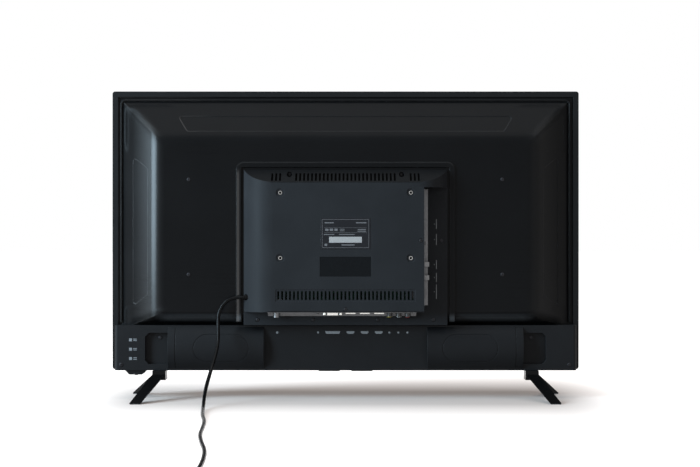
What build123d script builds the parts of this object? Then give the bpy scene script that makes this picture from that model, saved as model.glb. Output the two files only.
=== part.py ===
from build123d import *

import os
from math import hypot, radians, tan

# Flat screen television of the 32 inch class: direct-lit screen in a thin frame, stamped rear tray,
# electronics under a vented cover, speakers in a moulded lower cover, and two feet of two blades each.
# Frame: X to the right of someone who watches the screen, Y from the screen to the back, Z up,
# origin on the table below the middle of the feet. Millimetres.

os.makedirs("parts", exist_ok=True)

# Driving dimensions of the whole set
WIDTH = 732.0
HEIGHT = 436.0
TABLE_GAP = 44.0
FRONT_OFFSET = 35.0
OUTER_CORNER = 4.0
FIT = 0.3
OVERRUN = 6.0

# Screen stack, from the front to the back
SIDE_BORDER = 17.0
TOP_BORDER = 17.0
BOTTOM_BORDER = 27.0
BEZEL_PLATE = 1.6
BEZEL_WALL = 2.0
PANEL_THICK = 1.4
PANEL_MARGIN = 7.0
GASKET_THICK = 1.0
GASKET_WIDTH = 4.0
FRAME_LIP = 1.5
FRAME_DEPTH = 8.0
FRAME_BAND = 8.6
FRAME_WINDOW_MARGIN = 1.0
FRAME_BOTTOM_BAND = 18.0
SHEETS_THICK = 0.8
SHEETS_MARGIN = 5.0
DIFFUSER_THICK = 2.0

# Stamped rear tray
SHEET = 1.0
TRAY_DEPTH = 38.5
GROOVE_WIDTH = 3.2
BEAD_WIDTH = 3.2
BEAD_HEIGHT = 3.2
BEAD_CHAMFER = 0.9
BEAD_CORNER = 9.0
FLANK_RUN = 58.0
TOP_FLANK_RUN = 59.0
BOTTOM_FLANK_RUN = 17.0
CREST_RADIUS = 38.0
BOTTOM_CREST_RADIUS = 12.0
TRAY_SHELF_DEPTH = 11.7
TRAY_SHELF_RUN = 7.0

# Moulded lower cover
LOWER_HEIGHT = 70.0
LOWER_INSET = 6.5
LOWER_WALL = 2.2
LOWER_LEVEL_DEPTH = 24.0

# Electronics cover
COVER_WIDTH = 315.0
COVER_TOP_GAP = 50.0
COVER_WALL = 2.2
COVER_DEPTH = 33.0
COVER_LEDGE = 4.2
COVER_BOTTOM_GAP = 1.4
BOARD_LIFT = 6.2
BOARD_THICK = 1.6

# Wall mount: four threaded posts
MOUNT_SPACING_X = 200.0
MOUNT_SPACING_Z = 100.0
MOUNT_RISE = 7.5
POST_RADIUS = 3.6
POST_HOLE_RADIUS = 2.0
POST_HOLE_DEPTH = 14.0
POST_SINK = 1.2

# Screws: one size for all
SCREW_RADIUS = 1.5
SCREW_GAP = 0.1
SCREW_HEAD_RADIUS = 2.9
SCREW_HEAD_HEIGHT = 1.2
SCREW_BITE = 1.8
INNER_SCREW_LENGTH = 6.0
SCREW_SIDES = 8

# Mains lead
CORD_RADIUS = 2.8
CORD_SIDES = 8

# Depths of the stack
y_front = -FRONT_OFFSET
y_panel = y_front + BEZEL_PLATE
y_gasket = y_panel + PANEL_THICK
y_frame = y_gasket + GASKET_THICK
y_sheets = y_frame + FRAME_LIP
y_diffuser = y_sheets + SHEETS_THICK
y_tray = y_diffuser + DIFFUSER_THICK
y_flange = y_tray + SHEET
y_frame_back = y_frame + FRAME_DEPTH
y_shelf = y_tray + TRAY_SHELF_DEPTH
y_plateau = y_tray + TRAY_DEPTH
y_face = y_plateau + COVER_DEPTH
y_ledge = y_plateau + COVER_LEDGE
y_board = y_plateau + BOARD_LIFT
y_parts = y_board + BOARD_THICK
y_lower = y_frame_back + LOWER_LEVEL_DEPTH

# Heights and half widths
z_low = TABLE_GAP
z_top = z_low + HEIGHT
z_mid = z_low + HEIGHT / 2
window_width = WIDTH - 2 * SIDE_BORDER
window_height = HEIGHT - TOP_BORDER - BOTTOM_BORDER
z_window = z_top - TOP_BORDER - window_height / 2
tray_half = WIDTH / 2 - FRAME_BAND - FIT
tray_top = z_top - FRAME_BAND - FIT
tray_bottom = z_low + FRAME_BOTTOM_BAND
tray_height = tray_top - tray_bottom
z_tray = (tray_top + tray_bottom) / 2
foot_half = tray_half - GROOVE_WIDTH - BEAD_WIDTH
foot_top = tray_top - GROOVE_WIDTH - BEAD_WIDTH
foot_bottom = tray_bottom + GROOVE_WIDTH + BEAD_WIDTH
plateau_half = foot_half - FLANK_RUN
plateau_top = foot_top - TOP_FLANK_RUN
lower_width = WIDTH - 2 * LOWER_INSET
z_lower_top = z_low + LOWER_HEIGHT
plateau_bottom = z_lower_top + BOTTOM_FLANK_RUN
cover_half = COVER_WIDTH / 2
cover_top = plateau_top - COVER_TOP_GAP
cover_bottom = z_lower_top + COVER_BOTTOM_GAP
z_mount = z_mid + MOUNT_RISE


def save(piece, node):
    """Labels a finished piece and writes it under its node's name."""
    piece.part.label = node
    export_step(piece.part, f"parts/{node}.step")


def screen_plane(depth):
    """Plane parallel to the screen: local x is X, local y is Z, a negative extrusion goes back."""
    return Plane.XZ.offset(-depth)


def screw_group(places, seat, tip):
    """Pan-head screws along Y at the places in X and Z, from their seat inward to their tip."""
    with BuildPart() as group:
        with BuildSketch(screen_plane(seat)):
            with Locations(*places):
                RegularPolygon(SCREW_HEAD_RADIUS, SCREW_SIDES)
        extrude(amount=-SCREW_HEAD_HEIGHT)
        with BuildSketch(screen_plane(seat)):
            with Locations(*places):
                RegularPolygon(SCREW_RADIUS, SCREW_SIDES)
        extrude(amount=seat - tip)
    return group


# Front bezel: a thin plate round the window, and a low wall round its edge
with BuildPart() as front_bezel:
    with BuildSketch(screen_plane(y_front)):
        with Locations((0, z_mid)):
            RectangleRounded(WIDTH, HEIGHT, OUTER_CORNER)
    extrude(amount=y_front - y_frame)
    with BuildSketch(screen_plane(y_panel)):
        with Locations((0, z_mid)):
            Rectangle(WIDTH - 2 * BEZEL_WALL, HEIGHT - 2 * BEZEL_WALL)
    extrude(amount=-OVERRUN, mode=Mode.SUBTRACT)
    with BuildSketch(screen_plane(y_front)):
        with Locations((0, z_window)):
            Rectangle(window_width, window_height)
    extrude(amount=-OVERRUN, mode=Mode.SUBTRACT)
    chamfer(front_bezel.faces().sort_by(Axis.Y)[0].edges(), BEZEL_PLATE / 4)
save(front_bezel, "front_bezel")

# Liquid crystal panel, foam gasket behind it, optical films and diffuser plate
panel_width = window_width + 2 * PANEL_MARGIN
panel_height = window_height + 2 * PANEL_MARGIN
sheets_width = window_width + 2 * SHEETS_MARGIN
sheets_height = window_height + 2 * SHEETS_MARGIN

with BuildPart() as lcd_panel:
    with BuildSketch(screen_plane(y_panel)):
        with Locations((0, z_window)):
            Rectangle(panel_width, panel_height)
    extrude(amount=-PANEL_THICK)
save(lcd_panel, "lcd_panel")

with BuildPart() as panel_gasket:
    with BuildSketch(screen_plane(y_gasket)):
        with Locations((0, z_window)):
            Rectangle(panel_width, panel_height)
            Rectangle(panel_width - 2 * GASKET_WIDTH, panel_height - 2 * GASKET_WIDTH, mode=Mode.SUBTRACT)
    extrude(amount=-GASKET_THICK)
save(panel_gasket, "panel_gasket")

with BuildPart() as optical_films:
    with BuildSketch(screen_plane(y_sheets)):
        with Locations((0, z_window)):
            Rectangle(sheets_width, sheets_height)
    extrude(amount=-SHEETS_THICK)
save(optical_films, "optical_films")

with BuildPart() as diffuser_plate:
    with BuildSketch(screen_plane(y_diffuser)):
        with Locations((0, z_window)):
            Rectangle(sheets_width, sheets_height)
    extrude(amount=-DIFFUSER_THICK)
save(diffuser_plate, "diffuser_plate")

# Middle frame: holds the panel on its lip and the films, diffuser and tray in its pocket
with BuildPart() as middle_frame:
    with BuildSketch(screen_plane(y_frame)):
        with Locations((0, z_mid)):
            RectangleRounded(WIDTH, HEIGHT, OUTER_CORNER)
        with Locations((0, z_window)):
            Rectangle(
                window_width + 2 * FRAME_WINDOW_MARGIN,
                window_height + 2 * FRAME_WINDOW_MARGIN,
                mode=Mode.SUBTRACT,
            )
    extrude(amount=-FRAME_DEPTH)
    with BuildSketch(screen_plane(y_sheets)):
        with Locations((0, z_tray)):
            Rectangle(2 * (tray_half + FIT), tray_height + 2 * FIT)
    extrude(amount=-FRAME_DEPTH, mode=Mode.SUBTRACT)
save(middle_frame, "middle_frame")


def tray_form(inset):
    """Bulge of the tray, moved inward by inset: two crossed prisms, so that the flanks meet in mitres."""
    front = y_tray - 2 * abs(inset)
    with BuildPart() as form:
        with BuildSketch(Plane.XY.offset(z_low)) as plan:
            with BuildLine():
                Polyline(
                    (-foot_half, front),
                    (-foot_half, y_flange),
                    (-plateau_half, y_plateau),
                    (plateau_half, y_plateau),
                    (foot_half, y_flange),
                    (foot_half, front),
                    close=True,
                )
            make_face()
            fillet(plan.vertices().group_by(Axis.Y)[-1], CREST_RADIUS)
            if inset:
                offset(amount=-inset, kind=Kind.INTERSECTION, mode=Mode.REPLACE)
        extrude(amount=HEIGHT)
        with BuildSketch(Plane.YZ) as side:
            with BuildLine():
                Polyline(
                    (front, foot_top),
                    (y_flange, foot_top),
                    (y_plateau, plateau_top),
                    (y_plateau, plateau_bottom),
                    (y_shelf, z_lower_top),
                    (y_shelf, foot_bottom + TRAY_SHELF_RUN),
                    (y_flange, foot_bottom),
                    (front, foot_bottom),
                    close=True,
                )
            make_face()
            fillet(side.vertices().group_by(Axis.X)[-1].sort_by(Axis.Y)[-1], CREST_RADIUS)
            fillet(side.vertices().group_by(Axis.X)[-1].sort_by(Axis.Y)[0], BOTTOM_CREST_RADIUS)
            if inset:
                offset(amount=-inset, kind=Kind.INTERSECTION, mode=Mode.REPLACE)
        extrude(amount=WIDTH / 2, both=True, mode=Mode.INTERSECT)
    return form.part


# Electronics cover values
FACE_LEFT = 111.0
STEP_X = 120.5
EDGE_RISE = 3.2
LIP_HEIGHT = 20.8
TOP_SLOPE_RUN = 19.5
STEP_DROP = 27.7
FACE_EDGE_RADIUS = 3.0
VENT_PITCH = 6.05
VENT_WIDTH = 3.0
VENT_HEIGHT = 13.4
VENT_COUNT = 35
VENT_RISE = 25.8
VENT_FRAME_MARGIN = 2.6
VENT_FRAME_DEPTH = 0.6
TOP_VENT_COUNT = 26
TOP_VENT_SIDE_COUNT = 3
TOP_VENT_SIDE_X = 106.5
TOP_VENT_DROP = 12.0
TOP_VENT_HEIGHT = 12.0
DIMPLE_RADIUS = 6.5
DIMPLE_DEPTH = 0.8
WELL_X = 86.5
WELL_DROP = 7.6
WELL_RADIUS = 4.2
WELL_WALL = 1.8
WELL_FLOOR = 6.0
FACE_SCREW_RISE = 4.6
STEP_SCREW_INSET = 5.0
SHELF_SCREW_X = 148.0
SHELF_SCREW_DROP = 23.3
LIP_SCREW_X = (136.0, 50.0, -50.0, -136.0)
LIP_SCREW_RISE = 8.2
COVER_SCREW_RECESS = 0.9
RECESS_GAP = 0.6
PLATE_THICK = 0.8
PLATE_RISE = 25.0
PLATE_FLANGE = 6.7
SIDE_PLATE_GAPS = (10.0, 11.0)
BOTTOM_PLATE_LEFT = 120.0
BOTTOM_PLATE_RIGHT = 109.0
PLATE_EDGE = 4.0
WINDOW_LIFT = 2.4
LABEL_WIDTH = 76.0
LABEL_HEIGHT = 47.7
LABEL_THICK = 0.3
LABEL_DROP = 12.6
PATCH_WIDTH = 78.6
PATCH_HEIGHT = 30.3
PATCH_DROP = 63.3
GLAND_RISE = 43.2
GLAND_LIFT = 10.2
GLAND_RADIUS = 4.6

face_bottom = cover_bottom + LIP_HEIGHT
face_top = cover_top - TOP_SLOPE_RUN
step_top = cover_top - STEP_DROP
y_edge = y_plateau + EDGE_RISE
y_gland = y_plateau + GLAND_LIFT
z_gland = cover_bottom + GLAND_RISE
mount_places = [
    (x, z)
    for x in (-MOUNT_SPACING_X / 2, MOUNT_SPACING_X / 2)
    for z in (z_mount - MOUNT_SPACING_Z / 2, z_mount + MOUNT_SPACING_Z / 2)
]
well_places = [(side * WELL_X, cover_top - WELL_DROP) for side in (1, -1)]
face_screw_places = [
    (0, face_bottom + FACE_SCREW_RISE),
    (-STEP_X + STEP_SCREW_INSET, z_mount - SHELF_SCREW_DROP),
]
ledge_screw_places = [(x, cover_bottom + LIP_SCREW_RISE) for x in LIP_SCREW_X]
ledge_screw_places.append((-SHELF_SCREW_X, z_mount - SHELF_SCREW_DROP))
z_vents = face_bottom + VENT_RISE
vents_width = (VENT_COUNT - 1) * VENT_PITCH + VENT_WIDTH + 2 * VENT_FRAME_MARGIN
side_plate_span = (face_bottom + SIDE_PLATE_GAPS[0], face_top - SIDE_PLATE_GAPS[1])

# Rear tray values: shallow stamped panels in the flanks, ridge round the electronics cover
PANEL_RECESS = 0.8
PANEL_CORNER = 4.0
SIDE_PANEL_END_GAP = 20.85
SIDE_PANEL_TAPER = 18.5
SIDE_PANEL_DROP = 8.0
SIDE_PANEL_FOOT_GAP = 22.0
TOP_PANEL_END_GAP = 31.2
TOP_PANEL_TAPER = 15.5
TOP_PANEL_FOOT_GAP = 29.0
PANEL_SPAN = 28.6
RIDGE_WIDTH = 8.5
RIDGE_HEIGHT = 3.0
RIDGE_GAP = 3.4
RIDGE_CORNER = 12.0
RIDGE_CHAMFER = 1.2
RIDGE_FOOT_GAP = 6.0
TRAY_SCREW_INSET = 49.7
STRIP_ROWS = 3
TRAY_SCREW_UPPER_GAP = 19.2
TRAY_SCREW_LOWER_GAP = 16.7

tray_rise = y_plateau - y_flange
side_slope = hypot(FLANK_RUN, tray_rise)
top_slope = hypot(TOP_FLANK_RUN, tray_rise)
side_middle = (SIDE_PANEL_FOOT_GAP + PANEL_SPAN / 2) / side_slope
top_middle = (TOP_PANEL_FOOT_GAP + PANEL_SPAN / 2) / top_slope
z_side_panel = (plateau_top + plateau_bottom) / 2 - SIDE_PANEL_DROP
side_panel_long = plateau_top - plateau_bottom - 2 * SIDE_PANEL_END_GAP
top_panel_long = 2 * plateau_half - 2 * TOP_PANEL_END_GAP
ridge_half = cover_half + RIDGE_GAP + RIDGE_WIDTH
ridge_top = cover_top + RIDGE_GAP + RIDGE_WIDTH
ridge_bottom = z_lower_top + RIDGE_FOOT_GAP
row_pitch = (plateau_top - plateau_bottom) / STRIP_ROWS
tray_screw_heights = (
    plateau_top - row_pitch / 2 - TRAY_SCREW_UPPER_GAP,
    plateau_bottom + row_pitch / 2 + TRAY_SCREW_LOWER_GAP,
)
tray_screw_places = [
    (side * (plateau_half - TRAY_SCREW_INSET), z)
    for side in (1, -1)
    for z in tray_screw_heights
]
flank_panels = [
    (
        Plane(
            origin=(
                side * (foot_half - side_middle * FLANK_RUN),
                y_flange + side_middle * tray_rise,
                z_side_panel,
            ),
            x_dir=(0, 0, side),
            z_dir=(side * tray_rise, FLANK_RUN, 0),
        ),
        side_panel_long,
        side_panel_long - 2 * SIDE_PANEL_TAPER,
    )
    for side in (1, -1)
]
flank_panels.append(
    (
        Plane(
            origin=(0, y_flange + top_middle * tray_rise, foot_top - top_middle * TOP_FLANK_RUN),
            x_dir=(-1, 0, 0),
            z_dir=(0, TOP_FLANK_RUN, tray_rise),
        ),
        top_panel_long,
        top_panel_long - 2 * TOP_PANEL_TAPER,
    )
)


def flank_outline(long_side, short_side):
    """Face of a stamped panel: long at the foot of the flank, short at its crest, corners rounded."""
    with BuildSketch() as outline:
        with BuildLine():
            Polyline(
                (-long_side / 2, PANEL_SPAN / 2),
                (long_side / 2, PANEL_SPAN / 2),
                (short_side / 2, -PANEL_SPAN / 2),
                (-short_side / 2, -PANEL_SPAN / 2),
                close=True,
            )
        make_face()
        fillet(outline.vertices(), PANEL_CORNER)
    return outline.sketch


with BuildPart() as rear_tray:
    add(tray_form(0))
    with BuildSketch(screen_plane(y_shelf)):
        with Locations((0, (ridge_top + ridge_bottom - RIDGE_CORNER) / 2)):
            RectangleRounded(2 * ridge_half, ridge_top - ridge_bottom + RIDGE_CORNER, RIDGE_CORNER)
        with Locations((0, (ridge_top + ridge_bottom) / 2 - RIDGE_WIDTH)):
            Rectangle(2 * (ridge_half - RIDGE_WIDTH), ridge_top - ridge_bottom, mode=Mode.SUBTRACT)
        with Locations((0, ridge_bottom - RIDGE_CORNER)):
            Rectangle(WIDTH, 2 * RIDGE_CORNER, mode=Mode.SUBTRACT)
    extrude(amount=y_shelf - y_plateau - RIDGE_HEIGHT)
    chamfer(rear_tray.faces().sort_by(Axis.Y)[-1].edges(), RIDGE_CHAMFER)
    with BuildSketch(screen_plane(y_tray)):
        with Locations((0, z_tray)):
            Rectangle(2 * tray_half, tray_height)
    extrude(amount=-SHEET)
    with BuildPart(mode=Mode.PRIVATE) as bead:
        with BuildSketch(screen_plane(y_flange)):
            with Locations((0, z_tray)):
                RectangleRounded(
                    2 * (foot_half + BEAD_WIDTH), foot_top - foot_bottom + 2 * BEAD_WIDTH, BEAD_CORNER
                )
                RectangleRounded(
                    2 * foot_half, foot_top - foot_bottom, BEAD_CORNER - BEAD_WIDTH, mode=Mode.SUBTRACT
                )
            with Locations((0, z_lower_top - LOWER_HEIGHT)):
                Rectangle(WIDTH, 2 * LOWER_HEIGHT + 2 * BEAD_WIDTH, mode=Mode.SUBTRACT)
        extrude(amount=-BEAD_HEIGHT)
        chamfer(bead.faces().sort_by(Axis.Y)[-1].edges(), BEAD_CHAMFER)
    add(bead.part)
    add(tray_form(SHEET), mode=Mode.SUBTRACT)
    for plane, long_side, short_side in flank_panels:
        with BuildSketch(plane.offset(-PANEL_RECESS - SHEET)):
            add(flank_outline(long_side, short_side))
            offset(amount=SHEET, mode=Mode.REPLACE)
        extrude(amount=PANEL_RECESS + SHEET / 2)
        with BuildSketch(plane.offset(-PANEL_RECESS)):
            add(flank_outline(long_side, short_side))
        extrude(amount=OVERRUN, mode=Mode.SUBTRACT)
    with BuildSketch(screen_plane(y_plateau)):
        with Locations(*tray_screw_places, *well_places, *ledge_screw_places):
            RegularPolygon(SCREW_RADIUS + SCREW_GAP, SCREW_SIDES)
    extrude(amount=2 * SHEET, mode=Mode.SUBTRACT)
save(rear_tray, "rear_tray")

# Backlight: strips of lamps on the tray's floor, a lens on each lamp, a folded white reflector
STRIP_LAMPS = 6
STRIP_END_GAP = 22.7
STRIP_WIDTH = 16.0
STRIP_THICK = 1.2
LAMP_END_GAP = 40.0
LENS_SIDES = 8
LENS_RADIUS = 6.5
LENS_HEIGHT = 5.0
REFLECTOR_THICK = 0.5
LENS_GAP = 0.5

y_floor = y_plateau - SHEET
z_strips = (plateau_top + plateau_bottom) / 2
strip_length = 2 * plateau_half - 2 * STRIP_END_GAP
lamp_pitch = (strip_length - 2 * LAMP_END_GAP) / (STRIP_LAMPS - 1)
lamp_grid = GridLocations(lamp_pitch, row_pitch, STRIP_LAMPS, STRIP_ROWS).locations

with BuildPart() as lamp_strips:
    with BuildSketch(screen_plane(y_floor - STRIP_THICK)):
        with Locations((0, z_strips)):
            with GridLocations(strip_length, row_pitch, 1, STRIP_ROWS):
                Rectangle(strip_length, STRIP_WIDTH)
    extrude(amount=-STRIP_THICK)
save(lamp_strips, "lamp_strips")

with BuildPart() as lamp_lenses:
    with BuildSketch(screen_plane(y_floor - STRIP_THICK)):
        with Locations((0, z_strips)):
            with Locations(*lamp_grid):
                RegularPolygon(LENS_RADIUS, LENS_SIDES)
    extrude(amount=LENS_HEIGHT)
save(lamp_lenses, "lamp_lenses")

with BuildPart() as reflector_sheet:
    add(tray_form(SHEET + STRIP_THICK))
    add(tray_form(SHEET + STRIP_THICK + REFLECTOR_THICK), mode=Mode.SUBTRACT)
    with BuildSketch(screen_plane(y_floor)):
        with Locations((0, z_strips)):
            with Locations(*lamp_grid):
                RegularPolygon(LENS_RADIUS + LENS_GAP, LENS_SIDES)
    extrude(amount=2 * OVERRUN, mode=Mode.SUBTRACT)
    with BuildSketch(screen_plane(y_tray)):
        with Locations((0, z_mid)):
            Rectangle(WIDTH, HEIGHT)
    extrude(amount=OVERRUN, mode=Mode.SUBTRACT)
save(reflector_sheet, "reflector_sheet")

# Short screws in the tray's plateau
tray_screws = screw_group(tray_screw_places, y_plateau, y_plateau - SCREW_BITE)
save(tray_screws, "tray_screws")

# Lower cover values: speaker bulges, foot pockets, vents and sockets for feet and control pod
BULGE_INSET = 90.0
BULGE_LENGTH = 149.0
BULGE_RISE = 11.0
BULGE_MARGIN = 2.5
PLINTH_CORNER = 5.0
POCKET_WIDTH = 36.0
POCKET_HEIGHT = 49.0
POCKET_RISE = 34.0
POCKET_DEPTH = 8.2
POCKET_CUT = 6.0
STADIUM_INSET = 82.7
STADIUM_LENGTH = 87.0
STADIUM_HEIGHT = 44.0
STADIUM_GROOVE = 1.4
STADIUM_DEPTH = 0.6
END_GROOVE_INSET = 11.4
SIDE_VENT_COUNT = 9
SIDE_VENT_PITCH = 5.2
SIDE_VENT_WIDTH = 4.4
SIDE_VENT_HEIGHT = 2.4
SIDE_VENT_SLANT = 2.0
SIDE_VENT_GAP = 1.2
SOUND_SLOT_COUNT = 14
SOUND_SLOT_PITCH = 7.0
SOUND_SLOT_WIDTH = 3.0
SOUND_SLOT_LENGTH = 10.0
TAB_WIDTH = 32.5
TAB_CENTRE = 25.5
TAB_DROP = 1.5
TAB_DEPTH = 9.0
FOOT_GAP = 13.0
TONGUE_WIDTH = 20.0
TONGUE_THICK = 5.0
TONGUE_HEIGHT = 58.0
FOOT_SCREW_RISE = 50.7
POD_INSET = 39.0
POD_BACK_GAP = 3.0
POD_WIDTH = 24.0
POD_DEPTH = 18.0

bulge_outer = WIDTH / 2 - BULGE_INSET
bulge_inner = bulge_outer - BULGE_LENGTH
pocket_outer = bulge_outer + POCKET_WIDTH
stadium_x = bulge_outer - STADIUM_INSET
foot_x = bulge_outer + FOOT_GAP
pod_x = WIDTH / 2 - POD_INSET
y_tongue = y_shelf + FIT
y_pocket = y_lower - POCKET_DEPTH
z_bulge = z_low + LOWER_HEIGHT / 2
bulge_half = LOWER_HEIGHT / 2 - BULGE_MARGIN
z_pocket = z_low + POCKET_RISE
z_foot_screw = z_low + FOOT_SCREW_RISE
y_pod = y_lower - POD_BACK_GAP - POD_DEPTH / 2


def bulge_profile(inset):
    """Cross-section of a speaker bulge in the YZ plane, moved inward by inset."""
    with BuildSketch() as profile:
        with BuildLine():
            ThreePointArc(
                (y_lower - inset, z_bulge - bulge_half + inset),
                (y_lower + BULGE_RISE - inset, z_bulge),
                (y_lower - inset, z_bulge + bulge_half - inset),
            )
            Polyline(
                (y_lower - inset, z_bulge + bulge_half - inset),
                (y_frame_back, z_bulge + bulge_half - inset),
                (y_frame_back, z_bulge - bulge_half + inset),
                (y_lower - inset, z_bulge - bulge_half + inset),
            )
        make_face()
    return profile.sketch


with BuildPart() as lower_cover:
    with BuildSketch(Plane.XY.offset(z_low)) as footprint:
        with Locations((0, (y_lower + y_frame_back) / 2)):
            Rectangle(lower_width, LOWER_LEVEL_DEPTH)
        fillet(footprint.vertices().group_by(Axis.Y)[-1], PLINTH_CORNER)
    extrude(amount=LOWER_HEIGHT)
    for side in (1, -1):
        with BuildSketch(Plane.YZ.offset(side * bulge_inner)):
            add(bulge_profile(0))
        extrude(amount=side * (bulge_outer - bulge_inner))
    with BuildSketch(Plane.XY.offset(z_low + LOWER_WALL)) as hollow:
        with Locations((0, (y_lower + y_frame_back) / 2 - LOWER_WALL)):
            Rectangle(lower_width - 2 * LOWER_WALL, LOWER_LEVEL_DEPTH)
        fillet(hollow.vertices().group_by(Axis.Y)[-1], PLINTH_CORNER - LOWER_WALL)
    extrude(amount=LOWER_HEIGHT - 2 * LOWER_WALL, mode=Mode.SUBTRACT)
    for side in (1, -1):
        with BuildSketch(Plane.YZ.offset(side * (bulge_inner + LOWER_WALL))):
            add(bulge_profile(LOWER_WALL))
        extrude(amount=side * (bulge_outer - bulge_inner - 2 * LOWER_WALL), mode=Mode.SUBTRACT)
        # pocket at the bulge's outer end: floor, side walls, then the hollow itself
        pocket_middle = side * (bulge_outer + pocket_outer) / 2
        with BuildSketch(screen_plane(y_pocket - LOWER_WALL)):
            with Locations((pocket_middle, z_pocket)):
                Rectangle(pocket_outer - bulge_outer + 2 * LOWER_WALL, POCKET_HEIGHT + 2 * LOWER_WALL)
        extrude(amount=-POCKET_DEPTH)
        with BuildSketch(screen_plane(y_pocket)) as mouth:
            with Locations((pocket_middle, z_pocket)):
                Rectangle(pocket_outer - bulge_outer, POCKET_HEIGHT)
            chamfer(mouth.vertices().sort_by(Axis.X, reverse=side < 0)[-2:], POCKET_CUT)
        extrude(amount=-POCKET_DEPTH - OVERRUN, mode=Mode.SUBTRACT)
        with BuildSketch(screen_plane(y_pocket)):
            with Locations((side * foot_x, z_foot_screw)):
                RegularPolygon(SCREW_RADIUS + SCREW_GAP, SCREW_SIDES)
        extrude(amount=2 * LOWER_WALL, mode=Mode.SUBTRACT)
        # outline groove on the bulge and a seam near its outer end, of even depth over its curve
        with BuildPart(mode=Mode.PRIVATE) as groove:
            with BuildSketch(Plane.YZ.offset(side * bulge_inner)):
                add(bulge_profile(0))
                add(bulge_profile(STADIUM_DEPTH), mode=Mode.SUBTRACT)
            extrude(amount=side * (bulge_outer - bulge_inner))
            with BuildSketch(screen_plane(y_lower)):
                with Locations((side * stadium_x, z_bulge)):
                    SlotOverall(STADIUM_LENGTH, STADIUM_HEIGHT)
                    SlotOverall(
                        STADIUM_LENGTH - 2 * STADIUM_GROOVE,
                        STADIUM_HEIGHT - 2 * STADIUM_GROOVE,
                        mode=Mode.SUBTRACT,
                    )
                with Locations((side * (bulge_outer - END_GROOVE_INSET), z_bulge)):
                    Rectangle(STADIUM_GROOVE, LOWER_HEIGHT)
            extrude(amount=-2 * BULGE_RISE, mode=Mode.INTERSECT)
        add(groove.part, mode=Mode.SUBTRACT)
        # slanted vents beside the bulge's inner end
        with BuildSketch(screen_plane(y_lower)):
            vent_x = side * (bulge_inner - SIDE_VENT_GAP - SIDE_VENT_WIDTH / 2)
            with Locations((vent_x, z_bulge)):
                with GridLocations(SIDE_VENT_WIDTH, SIDE_VENT_PITCH, 1, SIDE_VENT_COUNT):
                    with BuildLine():
                        Polyline(
                            (-SIDE_VENT_WIDTH / 2, -(SIDE_VENT_HEIGHT + side * SIDE_VENT_SLANT) / 2),
                            (SIDE_VENT_WIDTH / 2, -(SIDE_VENT_HEIGHT - side * SIDE_VENT_SLANT) / 2),
                            (SIDE_VENT_WIDTH / 2, (SIDE_VENT_HEIGHT + side * SIDE_VENT_SLANT) / 2),
                            (-SIDE_VENT_WIDTH / 2, (SIDE_VENT_HEIGHT - side * SIDE_VENT_SLANT) / 2),
                            close=True,
                        )
                    make_face()
        extrude(amount=LOWER_WALL + FIT, both=True, mode=Mode.SUBTRACT)
        # bottom wall: sound slots, hole for the foot's tongue, locating tab
        with BuildSketch(Plane.XY.offset(z_low - OVERRUN)):
            with Locations((side * (bulge_inner + bulge_outer) / 2, (y_shelf + y_lower) / 2)):
                with GridLocations(SOUND_SLOT_PITCH, SOUND_SLOT_LENGTH, SOUND_SLOT_COUNT, 1):
                    Rectangle(SOUND_SLOT_WIDTH, SOUND_SLOT_LENGTH)
            with Locations((side * foot_x, y_tongue + TONGUE_THICK / 2)):
                Rectangle(TONGUE_WIDTH + 2 * FIT, TONGUE_THICK + 2 * FIT)
        extrude(amount=OVERRUN + 2 * LOWER_WALL, mode=Mode.SUBTRACT)
        with BuildSketch(Plane.XY.offset(z_low - TAB_DROP)):
            with Locations((side * TAB_CENTRE, y_lower - PLINTH_CORNER - TAB_DEPTH / 2)):
                Rectangle(TAB_WIDTH, TAB_DEPTH)
        extrude(amount=TAB_DROP + LOWER_WALL)
    with BuildSketch(Plane.XY.offset(z_low - OVERRUN)):
        with Locations((pod_x, y_pod)):
            Rectangle(POD_WIDTH + 2 * FIT, POD_DEPTH + 2 * FIT)
    extrude(amount=OVERRUN + 2 * LOWER_WALL, mode=Mode.SUBTRACT)
    add(tray_form(-FIT), mode=Mode.SUBTRACT)
save(lower_cover, "lower_cover")

# Speakers: oblong drivers that face down over the sound slots
SPEAKER_LENGTH = 110.0
SPEAKER_WIDTH = 12.0
SPEAKER_RIM = 2.0
SPEAKER_RIM_HEIGHT = 3.0
CONE_HEIGHT = 9.0
CONE_TAPER = 20.0
MAGNET_LENGTH = 40.0
MAGNET_WIDTH = 8.0
MAGNET_HEIGHT = 12.0
SPEAKER_BACK_GAP = 1.0

z_speaker = z_low + LOWER_WALL
y_speaker = y_shelf + SPEAKER_BACK_GAP + SPEAKER_WIDTH / 2
speaker_places = [(side * (bulge_inner + bulge_outer) / 2, y_speaker) for side in (1, -1)]

with BuildPart() as speaker_frames:
    with BuildSketch(Plane.XY.offset(z_speaker)):
        with Locations(*speaker_places):
            RectangleRounded(SPEAKER_LENGTH, SPEAKER_WIDTH, SPEAKER_RIM)
            Rectangle(SPEAKER_LENGTH - 2 * SPEAKER_RIM, SPEAKER_WIDTH - 2 * SPEAKER_RIM, mode=Mode.SUBTRACT)
    extrude(amount=SPEAKER_RIM_HEIGHT)
save(speaker_frames, "speaker_frames")

with BuildPart() as speaker_cones:
    with BuildSketch(Plane.XY.offset(z_speaker + SPEAKER_RIM_HEIGHT)):
        with Locations(*speaker_places):
            Rectangle(SPEAKER_LENGTH - SPEAKER_RIM, SPEAKER_WIDTH - SPEAKER_RIM)
    extrude(amount=CONE_HEIGHT, taper=CONE_TAPER)
save(speaker_cones, "speaker_cones")

with BuildPart() as speaker_magnets:
    with BuildSketch(Plane.XY.offset(z_speaker + SPEAKER_RIM_HEIGHT + CONE_HEIGHT)):
        with Locations(*speaker_places):
            Rectangle(MAGNET_LENGTH, MAGNET_WIDTH)
    extrude(amount=MAGNET_HEIGHT)
save(speaker_magnets, "speaker_magnets")


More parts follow.
